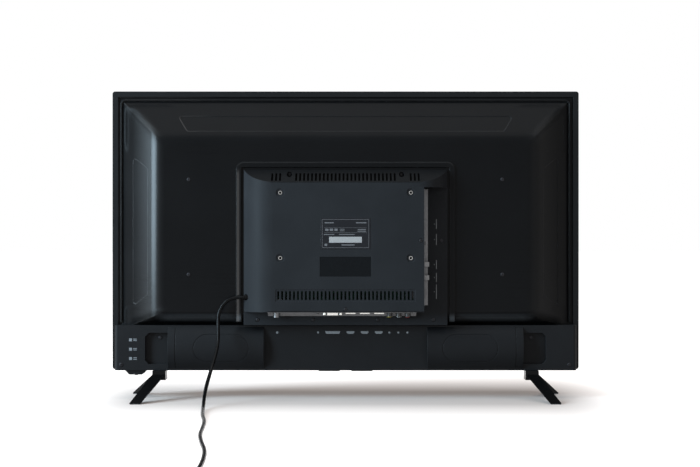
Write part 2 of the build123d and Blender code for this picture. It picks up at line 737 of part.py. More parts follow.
def cover_form(inset):
    """Form of the electronics cover, moved inward by inset: its plans and its side view, crossed."""
    front = y_shelf - 2 * inset
    with BuildSketch() as stepped:
        with BuildLine():
            Polyline(
                (cover_half, y_edge),
                (cover_half, front),
                (-cover_half, front),
                (-cover_half, y_ledge),
                (-STEP_X, y_ledge),
                (-STEP_X, y_face),
                (FACE_LEFT, y_face),
            )
            TangentArc((FACE_LEFT, y_face), (cover_half, y_edge), tangent=(1, 0))
        make_face()
        if inset:
            offset(amount=-inset, kind=Kind.INTERSECTION, mode=Mode.REPLACE)
    with BuildSketch() as rounded:
        with BuildLine():
            TangentArc((FACE_LEFT, y_face), (cover_half, y_edge), tangent=(1, 0))
            Polyline((cover_half, y_edge), (cover_half, front), (-cover_half, front), (-cover_half, y_edge))
            TangentArc((-FACE_LEFT, y_face), (-cover_half, y_edge), tangent=(-1, 0))
            Line((-FACE_LEFT, y_face), (FACE_LEFT, y_face))
        make_face()
        if inset:
            offset(amount=-inset, kind=Kind.INTERSECTION, mode=Mode.REPLACE)
    with BuildSketch() as side:
        with BuildLine():
            Polyline(
                (front, cover_bottom),
                (y_ledge, cover_bottom),
                (y_ledge, face_bottom),
                (y_face, face_bottom),
                (y_face, face_top),
                (y_edge, cover_top),
                (front, cover_top),
                close=True,
            )
        make_face()
        fillet(side.vertices().group_by(Axis.X)[-1], FACE_EDGE_RADIUS)
        if inset:
            offset(amount=-inset, kind=Kind.INTERSECTION, mode=Mode.REPLACE)
    forms = []
    step_height = step_top + inset - z_low
    for plan, bottom, height in ((stepped, z_low, step_height), (rounded, step_top + inset, HEIGHT)):
        with BuildPart() as form:
            with BuildSketch(Plane.XY.offset(bottom)):
                add(plan.sketch)
            extrude(amount=height)
            with BuildSketch(Plane.YZ.offset(-COVER_WIDTH)):
                add(side.sketch)
            extrude(amount=2 * COVER_WIDTH, mode=Mode.INTERSECT)
        forms.append(form.part)
    return forms[0] + forms[1]


cover_outside = cover_form(0)
cover_inside = cover_form(COVER_WALL)

with BuildPart() as screw_wells:
    add(cover_outside)
    with BuildSketch(screen_plane(y_face)):
        with Locations(*well_places):
            Circle(WELL_RADIUS + WELL_WALL)
    extrude(amount=COVER_DEPTH, mode=Mode.INTERSECT)

with BuildPart() as electronics_cover:
    add(cover_outside)
    add(cover_inside, mode=Mode.SUBTRACT)
    add(screw_wells.part)
    add(tray_form(-FIT), mode=Mode.SUBTRACT)
    # wells for the upper screws, dimples over the wall-mount posts, recesses for the other screws
    with BuildSketch(screen_plane(y_plateau + WELL_FLOOR)):
        with Locations(*well_places):
            Circle(WELL_RADIUS)
    extrude(amount=-COVER_DEPTH, mode=Mode.SUBTRACT)
    with BuildSketch(screen_plane(y_face - DIMPLE_DEPTH)):
        with Locations(*mount_places):
            Circle(DIMPLE_RADIUS)
    extrude(amount=-OVERRUN, mode=Mode.SUBTRACT)
    with BuildSketch(screen_plane(y_face - COVER_SCREW_RECESS)):
        with Locations(*face_screw_places):
            Circle(SCREW_HEAD_RADIUS + RECESS_GAP)
    extrude(amount=-OVERRUN, mode=Mode.SUBTRACT)
    with BuildSketch(screen_plane(y_ledge - COVER_SCREW_RECESS)):
        with Locations(*ledge_screw_places):
            Circle(SCREW_HEAD_RADIUS + RECESS_GAP)
    extrude(amount=-OVERRUN, mode=Mode.SUBTRACT)
    with BuildSketch(screen_plane(y_face)):
        with Locations(*mount_places):
            Circle(POST_RADIUS + FIT)
        with Locations(*face_screw_places):
            RegularPolygon(SCREW_RADIUS + SCREW_GAP, SCREW_SIDES)
    extrude(amount=2 * COVER_WALL, mode=Mode.SUBTRACT)
    with BuildSketch(screen_plane(y_ledge)):
        with Locations(*ledge_screw_places):
            RegularPolygon(SCREW_RADIUS + SCREW_GAP, SCREW_SIDES)
    extrude(amount=2 * COVER_WALL, mode=Mode.SUBTRACT)
    with BuildSketch(screen_plane(y_plateau + WELL_FLOOR)):
        with Locations(*well_places):
            RegularPolygon(SCREW_RADIUS + SCREW_GAP, SCREW_SIDES)
    extrude(amount=WELL_FLOOR + OVERRUN, mode=Mode.SUBTRACT)
    # vents in the face, in a shallow frame, and in the slope above it
    with BuildSketch(screen_plane(y_face - VENT_FRAME_DEPTH)):
        with Locations((0, z_vents)):
            Rectangle(vents_width, VENT_HEIGHT + 2 * VENT_FRAME_MARGIN)
    extrude(amount=-OVERRUN, mode=Mode.SUBTRACT)
    with BuildSketch(screen_plane(y_face - VENT_FRAME_DEPTH)):
        with Locations((0, z_vents)):
            with GridLocations(VENT_PITCH, VENT_HEIGHT, VENT_COUNT, 1):
                Rectangle(VENT_WIDTH, VENT_HEIGHT)
    extrude(amount=2 * COVER_WALL, mode=Mode.SUBTRACT)
    with BuildSketch(screen_plane(y_ledge)):
        with Locations((0, cover_top - TOP_VENT_DROP)):
            with GridLocations(VENT_PITCH, TOP_VENT_HEIGHT, TOP_VENT_COUNT, 1):
                Rectangle(VENT_WIDTH, TOP_VENT_HEIGHT)
            with GridLocations(2 * TOP_VENT_SIDE_X, TOP_VENT_HEIGHT, 2, 1):
                with GridLocations(VENT_PITCH, TOP_VENT_HEIGHT, TOP_VENT_SIDE_COUNT, 1):
                    Rectangle(VENT_WIDTH, TOP_VENT_HEIGHT)
    extrude(amount=-COVER_DEPTH, mode=Mode.SUBTRACT)
    # windows for the sockets in the right step and in the bottom step, hole for the lead's gland
    with BuildSketch(Plane.XY.offset(side_plate_span[0] + PLATE_EDGE)):
        with Locations((-STEP_X, y_ledge + WINDOW_LIFT + (PLATE_RISE - PLATE_EDGE) / 2)):
            Rectangle(3 * COVER_WALL, PLATE_RISE - PLATE_EDGE)
    extrude(amount=side_plate_span[1] - side_plate_span[0] - 2 * PLATE_EDGE, mode=Mode.SUBTRACT)
    with BuildSketch(Plane.YZ.offset(PLATE_EDGE - BOTTOM_PLATE_RIGHT)):
        with Locations((y_ledge + WINDOW_LIFT + (PLATE_RISE - PLATE_EDGE) / 2, face_bottom)):
            Rectangle(PLATE_RISE - PLATE_EDGE, 3 * COVER_WALL)
    extrude(amount=BOTTOM_PLATE_LEFT + BOTTOM_PLATE_RIGHT - 2 * PLATE_EDGE, mode=Mode.SUBTRACT)
    with BuildSketch(Plane.YZ.offset(FACE_LEFT)):
        with Locations((y_gland, z_gland)):
            Circle(GLAND_RADIUS + FIT)
    extrude(amount=COVER_WIDTH, mode=Mode.SUBTRACT)
    # shallow seat of the blank patch
    with BuildSketch(screen_plane(y_face - LABEL_THICK)):
        with Locations((0, z_mount - PATCH_DROP)):
            Rectangle(PATCH_WIDTH, PATCH_HEIGHT)
    extrude(amount=-OVERRUN, mode=Mode.SUBTRACT)
save(electronics_cover, "electronics_cover")

with BuildPart() as label_plate:
    with BuildSketch(screen_plane(y_face)):
        with Locations((0, z_mount - LABEL_DROP)):
            RectangleRounded(LABEL_WIDTH, LABEL_HEIGHT, SCREW_RADIUS)
    extrude(amount=-LABEL_THICK)
save(label_plate, "label_plate")

well_screws = screw_group(well_places, y_plateau + WELL_FLOOR, y_plateau - SCREW_BITE)
face_screws = screw_group(
    face_screw_places, y_face - COVER_SCREW_RECESS, y_face - COVER_SCREW_RECESS - INNER_SCREW_LENGTH
)
ledge_screws = screw_group(ledge_screw_places, y_ledge - COVER_SCREW_RECESS, y_plateau - SCREW_BITE)

with BuildPart() as cover_screws:
    add(well_screws.part)
    add(face_screws.part)
    add(ledge_screws.part)
save(cover_screws, "cover_screws")

# Wall-mount posts: stand on the tray and end in the cover's dimples
with BuildPart() as wall_mount_posts:
    with BuildSketch(screen_plane(y_plateau)):
        with Locations(*mount_places):
            Circle(POST_RADIUS)
    extrude(amount=POST_SINK - COVER_DEPTH)
    with BuildSketch(screen_plane(y_face - POST_SINK)):
        with Locations(*mount_places):
            Circle(POST_HOLE_RADIUS)
    extrude(amount=POST_HOLE_DEPTH, mode=Mode.SUBTRACT)
save(wall_mount_posts, "wall_mount_posts")

# Circuit boards on spacers
BOARD_GAP = 0.6
MAIN_BOARD_STRIP = 42.0
MAIN_BOARD_LEFT = 8.0
POWER_BOARD_LEFT = 4.0
POWER_BOARD_RIGHT = 112.0
POWER_BOARD_GAP = 7.0
POST_CLEARANCE = 3.0
SPACER_RADIUS = 3.0
SPACER_SIDES = 6
BOARD_HOLE_INSET = 8.0

board_right = -STEP_X + COVER_WALL + BOARD_GAP
board_bottom = face_bottom + COVER_WALL + BOARD_GAP
board_top = side_plate_span[1]
strip_top = board_bottom + MAIN_BOARD_STRIP
power_bottom = strip_top + POWER_BOARD_GAP
main_spacers = [
    (board_right + BOARD_HOLE_INSET, strip_top),
    (-MAIN_BOARD_LEFT - BOARD_HOLE_INSET, board_top - BOARD_HOLE_INSET),
    (-MAIN_BOARD_LEFT - BOARD_HOLE_INSET, strip_top - BOARD_HOLE_INSET),
    (BOTTOM_PLATE_LEFT - 2 * BOARD_HOLE_INSET, strip_top - BOARD_HOLE_INSET),
]
power_spacers = [
    (x, z)
    for x in (POWER_BOARD_LEFT + BOARD_HOLE_INSET, POWER_BOARD_RIGHT - 4 * BOARD_HOLE_INSET)
    for z in (power_bottom + BOARD_HOLE_INSET, board_top - BOARD_HOLE_INSET)
]


def board_holes(spacers):
    """Outlines of a board's screw holes and of its clearances round the wall-mount posts."""
    with BuildSketch() as holes:
        with Locations(*spacers):
            RegularPolygon(SCREW_RADIUS + SCREW_GAP, SCREW_SIDES)
        with Locations(*mount_places):
            RegularPolygon(POST_RADIUS + POST_CLEARANCE, CORD_SIDES)
    return holes.sketch


main_board_holes = board_holes(main_spacers)
power_board_holes = board_holes(power_spacers)

with BuildPart() as main_board:
    with BuildSketch(screen_plane(y_board)):
        with BuildLine():
            Polyline(
                (board_right, board_bottom),
                (BOTTOM_PLATE_LEFT - PLATE_EDGE, board_bottom),
                (BOTTOM_PLATE_LEFT - PLATE_EDGE, strip_top),
                (-MAIN_BOARD_LEFT, strip_top),
                (-MAIN_BOARD_LEFT, board_top),
                (board_right, board_top),
                close=True,
            )
        make_face()
        add(main_board_holes, mode=Mode.SUBTRACT)
    extrude(amount=-BOARD_THICK)
save(main_board, "main_board")

with BuildPart() as power_board:
    with BuildSketch(screen_plane(y_board)):
        with Locations(((POWER_BOARD_LEFT + POWER_BOARD_RIGHT) / 2, (power_bottom + board_top) / 2)):
            Rectangle(POWER_BOARD_RIGHT - POWER_BOARD_LEFT, board_top - power_bottom)
        add(power_board_holes, mode=Mode.SUBTRACT)
    extrude(amount=-BOARD_THICK)
save(power_board, "power_board")

with BuildPart() as board_spacers:
    with BuildSketch(screen_plane(y_plateau)):
        with Locations(*main_spacers, *power_spacers):
            RegularPolygon(SPACER_RADIUS, SPACER_SIDES)
            RegularPolygon(SCREW_RADIUS + SCREW_GAP, SCREW_SIDES, mode=Mode.SUBTRACT)
    extrude(amount=-BOARD_LIFT)
save(board_spacers, "board_spacers")

board_screws = screw_group(main_spacers + power_spacers, y_parts, y_parts - INNER_SCREW_LENGTH)
save(board_screws, "board_screws")

# Parts on the boards
CHIP_SIDE = 24.0
CHIP_THICK = 1.6
CHIP_X = -48.0
CHIP_RISE = 84.0
SINK_SIDE = 40.0
SINK_BASE = 2.0
FIN_COUNT = 7
FIN_THICK = 1.4
FIN_HEIGHT = 9.0
TRANSFORMER_WIDTH = 30.0
TRANSFORMER_LENGTH = 34.0
TRANSFORMER_HEIGHT = 20.0
TRANSFORMER_X = 42.0
TRANSFORMER_RISE = 84.0
CORE_MARGIN = 4.0
BULK_RADIUS = 8.0
BULK_LENGTH = 32.0
BULK_X = 78.0
SMALL_CAPACITOR_RADIUS = 4.0
SMALL_CAPACITOR_HEIGHT = 14.0
SMALL_CAPACITOR_PITCH = 11.0
SMALL_CAPACITOR_COUNT = 3
SMALL_CAPACITOR_X = 36.0
SMALL_CAPACITOR_RISE = 32.0
CHOKE_SIDE = 18.0
CHOKE_HEIGHT = 16.0
CHOKE_X = 80.0
CHOKE_RISE = 30.0

z_chip = board_bottom + CHIP_RISE
z_transformer = power_bottom + TRANSFORMER_RISE

with BuildPart() as processor_chip:
    with BuildSketch(screen_plane(y_parts)):
        with Locations((CHIP_X, z_chip)):
            Rectangle(CHIP_SIDE, CHIP_SIDE)
    extrude(amount=-CHIP_THICK)
save(processor_chip, "processor_chip")

with BuildPart() as heat_sink:
    with BuildSketch(screen_plane(y_parts + CHIP_THICK)):
        with Locations((CHIP_X, z_chip)):
            Rectangle(SINK_SIDE, SINK_SIDE)
    extrude(amount=-SINK_BASE)
    with BuildSketch(screen_plane(y_parts + CHIP_THICK + SINK_BASE)):
        with Locations((CHIP_X, z_chip)):
            with GridLocations((SINK_SIDE - FIN_THICK) / (FIN_COUNT - 1), SINK_SIDE, FIN_COUNT, 1):
                Rectangle(FIN_THICK, SINK_SIDE)
    extrude(amount=-FIN_HEIGHT)
save(heat_sink, "heat_sink")

with BuildPart() as power_transformer:
    with BuildSketch(screen_plane(y_parts)):
        with Locations((TRANSFORMER_X, z_transformer)):
            Rectangle(TRANSFORMER_WIDTH, TRANSFORMER_LENGTH)
    extrude(amount=-TRANSFORMER_HEIGHT + CORE_MARGIN)
    with BuildSketch(screen_plane(y_parts + TRANSFORMER_HEIGHT - CORE_MARGIN)):
        with Locations((TRANSFORMER_X, z_transformer)):
            Rectangle(TRANSFORMER_WIDTH - 2 * CORE_MARGIN, TRANSFORMER_LENGTH)
    extrude(amount=-CORE_MARGIN)
save(power_transformer, "power_transformer")

with BuildPart() as capacitors:
    with BuildSketch(Plane.XY.offset(z_transformer - BULK_LENGTH / 2)):
        with Locations((BULK_X, y_parts + BULK_RADIUS)):
            Circle(BULK_RADIUS)
    extrude(amount=BULK_LENGTH)
    with BuildSketch(screen_plane(y_parts)):
        with Locations((SMALL_CAPACITOR_X, power_bottom + SMALL_CAPACITOR_RISE)):
            with GridLocations(SMALL_CAPACITOR_PITCH, SMALL_CAPACITOR_PITCH, SMALL_CAPACITOR_COUNT, 1):
                Circle(SMALL_CAPACITOR_RADIUS)
    extrude(amount=-SMALL_CAPACITOR_HEIGHT)
save(capacitors, "capacitors")

with BuildPart() as mains_choke:
    with BuildSketch(screen_plane(y_parts)):
        with Locations((CHOKE_X, power_bottom + CHOKE_RISE)):
            RectangleRounded(CHOKE_SIDE, CHOKE_SIDE, CHOKE_SIDE / 4)
    extrude(amount=-CHOKE_HEIGHT)
save(mains_choke, "mains_choke")

# Sockets in the right step, as seen from behind: their heights are measured from the wall mount's middle
CARD_RISE = 15.5
CARD_LENGTH = 57.0
CARD_BODY = 8.0
CARD_DEPTH = 50.0
CARD_MOUTH_LENGTH = 54.0
CARD_MOUTH = 5.4
CARD_PROUD = 1.4
CARD_MOUTH_DEPTH = 47.0
EARPHONE_RISE = -27.3
JACK_BODY = 8.0
JACK_DEPTH = 13.0
JACK_NOSE_RADIUS = 3.0
JACK_NOSE = 2.6
JACK_HOLE_RADIUS = 1.8
JACK_HOLE_DEPTH = 12.0
DATA_RISES = (-59.9, -80.3)
DATA_THICK = 7.0
DATA_BODY = 14.4
DATA_DEPTH = 9.0
DATA_PROUD = 8.0
DATA_SHELL = 0.9
DATA_MOUTH_DEPTH = 10.0
DATA_TONGUE = 1.8
NETWORK_RISE = -104.5
NETWORK_WIDTH = 16.0
NETWORK_BODY = 13.5
NETWORK_DEPTH = 18.0
NETWORK_PROUD = 1.6
NETWORK_MOUTH = 11.7
NETWORK_MOUTH_BODY = 9.0
NETWORK_MOUTH_DEPTH = 13.0
PLATE_HOLE_GAP = 0.3

x_step = -STEP_X


def side_block(rise, length, body, depth, proud):
    """Box of a socket in the side step: length along Z, body along Y, reaching proud of the step."""
    with Locations((x_step + (depth - proud) / 2, y_parts + body / 2, z_mount + rise)):
        return Box(depth + proud, body, length)


def side_mouth(rise, length, body, mouth_depth, proud, middle):
    """Hollow of a socket in the side step, open towards -X."""
    with Locations((x_step - proud + mouth_depth / 2, middle, z_mount + rise)):
        return Box(mouth_depth, body, length, mode=Mode.SUBTRACT)


with BuildPart() as card_slot:
    side_block(CARD_RISE, CARD_LENGTH, CARD_BODY, CARD_DEPTH, CARD_PROUD)
    side_mouth(
        CARD_RISE,
        CARD_MOUTH_LENGTH,
        CARD_MOUTH,
        CARD_MOUTH_DEPTH,
        CARD_PROUD,
        y_parts + CARD_BODY / 2,
    )
save(card_slot, "card_slot")

with BuildPart() as earphone_jack:
    side_block(EARPHONE_RISE, JACK_BODY, JACK_BODY, JACK_DEPTH, 0)
    with BuildSketch(Plane.YZ.offset(x_step)):
        with Locations((y_parts + JACK_BODY / 2, z_mount + EARPHONE_RISE)):
            Circle(JACK_NOSE_RADIUS)
    extrude(amount=-JACK_NOSE)
    with BuildSketch(Plane.YZ.offset(x_step - JACK_NOSE)):
        with Locations((y_parts + JACK_BODY / 2, z_mount + EARPHONE_RISE)):
            Circle(JACK_HOLE_RADIUS)
    extrude(amount=JACK_HOLE_DEPTH, mode=Mode.SUBTRACT)
save(earphone_jack, "earphone_jack")

with BuildPart() as data_sockets:
    for rise in DATA_RISES:
        side_block(rise, DATA_THICK, DATA_BODY, DATA_DEPTH, DATA_PROUD)
        side_mouth(
            rise,
            DATA_THICK - 2 * DATA_SHELL,
            DATA_BODY - 2 * DATA_SHELL,
            DATA_MOUTH_DEPTH,
            DATA_PROUD,
            y_parts + DATA_BODY / 2,
        )
        with Locations((x_step, y_parts + DATA_BODY / 2, z_mount + rise + DATA_TONGUE / 2)):
            Box(DATA_MOUTH_DEPTH, DATA_BODY - 4 * DATA_SHELL, DATA_TONGUE)
save(data_sockets, "data_sockets")

with BuildPart() as network_socket:
    side_block(NETWORK_RISE, NETWORK_WIDTH, NETWORK_BODY, NETWORK_DEPTH, NETWORK_PROUD)
    side_mouth(
        NETWORK_RISE,
        NETWORK_MOUTH,
        NETWORK_MOUTH_BODY,
        NETWORK_MOUTH_DEPTH,
        NETWORK_PROUD,
        y_parts + NETWORK_BODY / 2,
    )
save(network_socket, "network_socket")

with BuildPart() as side_terminal_plate:
    with BuildSketch(Plane.XY.offset(side_plate_span[0])):
        with BuildLine():
            Polyline(
                (x_step, y_ledge),
                (x_step, y_ledge + PLATE_RISE),
                (x_step - PLATE_THICK, y_ledge + PLATE_RISE),
                (x_step - PLATE_THICK, y_ledge + PLATE_THICK),
                (x_step - PLATE_FLANGE, y_ledge + PLATE_THICK),
                (x_step - PLATE_FLANGE, y_ledge),
                close=True,
            )
        make_face()
    extrude(amount=side_plate_span[1] - side_plate_span[0])
    with BuildSketch(Plane.YZ.offset(x_step)):
        with Locations((y_parts + CARD_BODY / 2, z_mount + CARD_RISE)):
            Rectangle(CARD_BODY + 2 * PLATE_HOLE_GAP, CARD_LENGTH + 2 * PLATE_HOLE_GAP)
        with Locations((y_parts + JACK_BODY / 2, z_mount + EARPHONE_RISE)):
            Circle(JACK_NOSE_RADIUS + PLATE_HOLE_GAP)
        with Locations(*[(y_parts + DATA_BODY / 2, z_mount + rise) for rise in DATA_RISES]):
            Rectangle(DATA_BODY + 2 * PLATE_HOLE_GAP, DATA_THICK + 2 * PLATE_HOLE_GAP)
        with Locations((y_parts + NETWORK_BODY / 2, z_mount + NETWORK_RISE)):
            Rectangle(NETWORK_BODY + 2 * PLATE_HOLE_GAP, NETWORK_WIDTH + 2 * PLATE_HOLE_GAP)
    extrude(amount=-PLATE_THICK, mode=Mode.SUBTRACT)
save(side_terminal_plate, "side_terminal_plate")

# Sockets in the bottom step
AERIAL_X = 106.4
AERIAL_WIDTH = 18.0
AERIAL_BODY = 13.0
AERIAL_DEPTH = 20.0
AERIAL_RADIUS = 4.7
AERIAL_SLEEVE = 8.5
AERIAL_HOLE_RADIUS = 1.4
AUDIO_X = 42.8
MONITOR_X = 20.0
MONITOR_WIDTH = 31.0
MONITOR_BODY = 12.5
MONITOR_DEPTH = 9.0
MONITOR_SHELL_WIDTH = 16.4
MONITOR_SHELL_BODY = 8.0
MONITOR_SHELL_SLANT = 1.6
MONITOR_SHELL_PROUD = 5.0
MONITOR_SHELL_WALL = 0.8
MONITOR_INSERT_DROP = 0.6
MONITOR_NUT_X = 12.5
MONITOR_NUT_RADIUS = 2.6
MONITOR_NUT_PROUD = 4.6
VIDEO_FIRST_X = -7.7
VIDEO_PITCH = 22.0
VIDEO_COUNT = 3
VIDEO_WIDTH = 15.2
VIDEO_BODY = 6.4
VIDEO_DEPTH = 11.0
VIDEO_PROUD = 3.0
VIDEO_SHELL = 0.7
VIDEO_MOUTH_DEPTH = 9.0
VIDEO_TONGUE = 1.2
VIDEO_TONGUE_MARGIN = 1.6
PHONO_FIRST_X = -68.0
PHONO_PITCH = 14.0
PHONO_COUNT = 3
PHONO_BODY = 13.0
PHONO_DEPTH = 12.0
PHONO_RADIUS = 4.2
PHONO_BARREL = 7.5
PHONO_HOLE_RADIUS = 1.7
PHONO_HOLE_DEPTH = 10.0

z_step = face_bottom
video_places = [VIDEO_FIRST_X - VIDEO_PITCH * index for index in range(VIDEO_COUNT)]
phono_places = [PHONO_FIRST_X - PHONO_PITCH * index for index in range(PHONO_COUNT)]
nut_places = (MONITOR_X + MONITOR_NUT_X, MONITOR_X - MONITOR_NUT_X)


def bottom_block(x, width, body, depth, proud):
    """Box of a socket in the bottom step: width along X, body along Y, reaching proud of the step."""
    with Locations((x, y_parts + body / 2, z_step + (depth - proud) / 2)):
        return Box(width, body, depth + proud)


def bottom_barrel(x, middle, radius, length):
    """Round nose of a socket, downward from the bottom step."""
    with Locations((x, middle, z_step - length / 2)):
        return Cylinder(radius, length)


def bottom_hole(x, middle, radius, nose, depth):
    """Round hole up into a socket's nose."""
    with Locations((x, middle, z_step - nose + depth / 2)):
        return Cylinder(radius, depth, mode=Mode.SUBTRACT)


with BuildPart() as aerial_socket:
    bottom_block(AERIAL_X, AERIAL_WIDTH, AERIAL_BODY, AERIAL_DEPTH, 0)
    bottom_barrel(AERIAL_X, y_parts + AERIAL_BODY / 2, AERIAL_RADIUS, AERIAL_SLEEVE)
    bottom_hole(AERIAL_X, y_parts + AERIAL_BODY / 2, AERIAL_HOLE_RADIUS, AERIAL_SLEEVE, AERIAL_SLEEVE)
save(aerial_socket, "aerial_socket")

with BuildPart() as audio_socket:
    bottom_block(AUDIO_X, JACK_BODY, JACK_BODY, JACK_DEPTH, 0)
    bottom_barrel(AUDIO_X, y_parts + JACK_BODY / 2, JACK_NOSE_RADIUS, JACK_NOSE)
    bottom_hole(AUDIO_X, y_parts + JACK_BODY / 2, JACK_HOLE_RADIUS, JACK_NOSE, JACK_HOLE_DEPTH)
save(audio_socket, "audio_socket")


def shell_outline(inset):
    """Keystone outline of the monitor socket's shell, moved inward by inset."""
    half = MONITOR_SHELL_WIDTH / 2 - inset
    narrow = half - MONITOR_SHELL_SLANT
    front = y_parts + MONITOR_BODY / 2 + MONITOR_SHELL_BODY / 2 - inset
    back = y_parts + MONITOR_BODY / 2 - MONITOR_SHELL_BODY / 2 + inset
    with BuildSketch() as outline:
        with BuildLine():
            Polyline(
                (MONITOR_X - half, front),
                (MONITOR_X + half, front),
                (MONITOR_X + narrow, back),
                (MONITOR_X - narrow, back),
                close=True,
            )
        make_face()
    return outline.sketch


with BuildPart() as monitor_socket:
    bottom_block(MONITOR_X, MONITOR_WIDTH, MONITOR_BODY, MONITOR_DEPTH, 0)
    with BuildSketch(Plane.XY.offset(z_step)):
        add(shell_outline(0))
    extrude(amount=-MONITOR_SHELL_PROUD)
    with BuildSketch(Plane.XY.offset(z_step - MONITOR_SHELL_PROUD)):
        add(shell_outline(MONITOR_SHELL_WALL))
    extrude(amount=MONITOR_INSERT_DROP, mode=Mode.SUBTRACT)
    for nut_x in nut_places:
        bottom_barrel(nut_x, y_parts + MONITOR_BODY / 2, MONITOR_NUT_RADIUS, MONITOR_NUT_PROUD)
save(monitor_socket, "monitor_socket")

with BuildPart() as video_sockets:
    for x in video_places:
        bottom_block(x, VIDEO_WIDTH, VIDEO_BODY, VIDEO_DEPTH, VIDEO_PROUD)
        with Locations((x, y_parts + VIDEO_BODY / 2, z_step - VIDEO_PROUD + VIDEO_MOUTH_DEPTH / 2)):
            Box(
                VIDEO_WIDTH - 2 * VIDEO_SHELL,
                VIDEO_BODY - 2 * VIDEO_SHELL,
                VIDEO_MOUTH_DEPTH,
                mode=Mode.SUBTRACT,
            )
            with Locations((0, 0, VIDEO_SHELL)):
                Box(VIDEO_WIDTH - 2 * VIDEO_SHELL - 2 * VIDEO_TONGUE_MARGIN, VIDEO_TONGUE, VIDEO_MOUTH_DEPTH)
save(video_sockets, "video_sockets")

with BuildPart() as phono_jacks:
    for x in phono_places:
        bottom_block(x, PHONO_BODY, PHONO_BODY, PHONO_DEPTH, 0)
        bottom_barrel(x, y_parts + PHONO_BODY / 2, PHONO_RADIUS, PHONO_BARREL)
        bottom_hole(x, y_parts + PHONO_BODY / 2, PHONO_HOLE_RADIUS, PHONO_BARREL, PHONO_HOLE_DEPTH)
save(phono_jacks, "phono_jacks")

with BuildPart() as bottom_terminal_plate:
    with BuildSketch(Plane.YZ.offset(-BOTTOM_PLATE_RIGHT)):
        with BuildLine():
            Polyline(
                (y_ledge, z_step),
                (y_ledge + PLATE_RISE, z_step),
                (y_ledge + PLATE_RISE, z_step - PLATE_THICK),
                (y_ledge + PLATE_THICK, z_step - PLATE_THICK),
                (y_ledge + PLATE_THICK, z_step - PLATE_FLANGE),
                (y_ledge, z_step - PLATE_FLANGE),
                close=True,
            )
        make_face()
    extrude(amount=BOTTOM_PLATE_LEFT + BOTTOM_PLATE_RIGHT)
    with BuildSketch(Plane.XY.offset(z_step)):
        with Locations((AERIAL_X, y_parts + AERIAL_BODY / 2)):
            Circle(AERIAL_RADIUS + PLATE_HOLE_GAP)
        with Locations((AUDIO_X, y_parts + JACK_BODY / 2)):
            Circle(JACK_NOSE_RADIUS + PLATE_HOLE_GAP)
        add(shell_outline(-PLATE_HOLE_GAP))
        with Locations(*[(nut_x, y_parts + MONITOR_BODY / 2) for nut_x in nut_places]):
            Circle(MONITOR_NUT_RADIUS + PLATE_HOLE_GAP)
        with Locations(*[(x, y_parts + VIDEO_BODY / 2) for x in video_places]):
            Rectangle(VIDEO_WIDTH + 2 * PLATE_HOLE_GAP, VIDEO_BODY + 2 * PLATE_HOLE_GAP)
        with Locations(*[(x, y_parts + PHONO_BODY / 2) for x in phono_places]):
            Circle(PHONO_RADIUS + PLATE_HOLE_GAP)
    extrude(amount=-PLATE_THICK, mode=Mode.SUBTRACT)
save(bottom_terminal_plate, "bottom_terminal_plate")

# Feet: a neck under the cabinet, a tongue up into it, and two blades spread to front and back
NECK_WIDTH = 20.5
NECK_DEPTH = 28.0
NECK_HEIGHT = 14.0
BLADE_ROOT_RISE = 5.0
BLADE_ROOT_WIDTH = 20.0
BLADE_ROOT_DEPTH = 14.0
BLADE_TIP_WIDTH = 17.0
BLADE_TIP_DEPTH = 14.0
BACK_TIP_OUT = 27.5
BACK_TIP_Y = 82.0
FRONT_TIP_OUT = 44.0
FRONT_TIP_Y = -82.0
PAD_THICK = 1.5
PAD_MARGIN = 2.0

blade_tips = (
    (foot_x + BACK_TIP_OUT, BACK_TIP_Y, 1),
    (foot_x + FRONT_TIP_OUT, FRONT_TIP_Y, -1),
)


def make_foot(side):
    """One foot: side is 1 on the +X end of the set and -1 on the other."""
    with BuildPart() as foot:
        with BuildSketch(Plane.XY.offset(z_low - NECK_HEIGHT)):
            with Locations((side * foot_x, 0)):
                Rectangle(NECK_WIDTH, NECK_DEPTH)
        extrude(amount=NECK_HEIGHT)
        with BuildSketch(Plane.XY.offset(z_low)):
            with Locations((side * foot_x, y_tongue + TONGUE_THICK / 2)):
                Rectangle(TONGUE_WIDTH, TONGUE_THICK)
        extrude(amount=TONGUE_HEIGHT)
        for tip_x, tip_y, end in blade_tips:
            with BuildSketch(Plane.XY.offset(PAD_THICK)):
                with Locations((side * tip_x, tip_y)):
                    Rectangle(BLADE_TIP_WIDTH, BLADE_TIP_DEPTH)
            with BuildSketch(Plane.XY.offset(z_low - BLADE_ROOT_RISE)):
                with Locations((side * foot_x, end * (NECK_DEPTH - BLADE_ROOT_DEPTH) / 2)):
                    Rectangle(BLADE_ROOT_WIDTH, BLADE_ROOT_DEPTH)
            loft()
        with BuildSketch(screen_plane(y_tongue + TONGUE_THICK)):
            with Locations((side * foot_x, z_foot_screw)):
                RegularPolygon(SCREW_RADIUS + SCREW_GAP, SCREW_SIDES)
        extrude(amount=TONGUE_THICK, mode=Mode.SUBTRACT)
    return foot


foot_right = make_foot(1)
save(foot_right, "foot_right")
foot_left = make_foot(-1)
save(foot_left, "foot_left")

with BuildPart() as foot_pads:
    with BuildSketch(Plane.XY):
        with Locations(*[(side * tip_x, tip_y) for side in (1, -1) for tip_x, tip_y, end in blade_tips]):
            Rectangle(BLADE_TIP_WIDTH - PAD_MARGIN, BLADE_TIP_DEPTH - PAD_MARGIN)
    extrude(amount=PAD_THICK)
save(foot_pads, "foot_pads")

foot_screws = screw_group(
    [(side * foot_x, z_foot_screw) for side in (1, -1)], y_pocket, y_pocket - INNER_SCREW_LENGTH
)
save(foot_screws, "foot_screws")

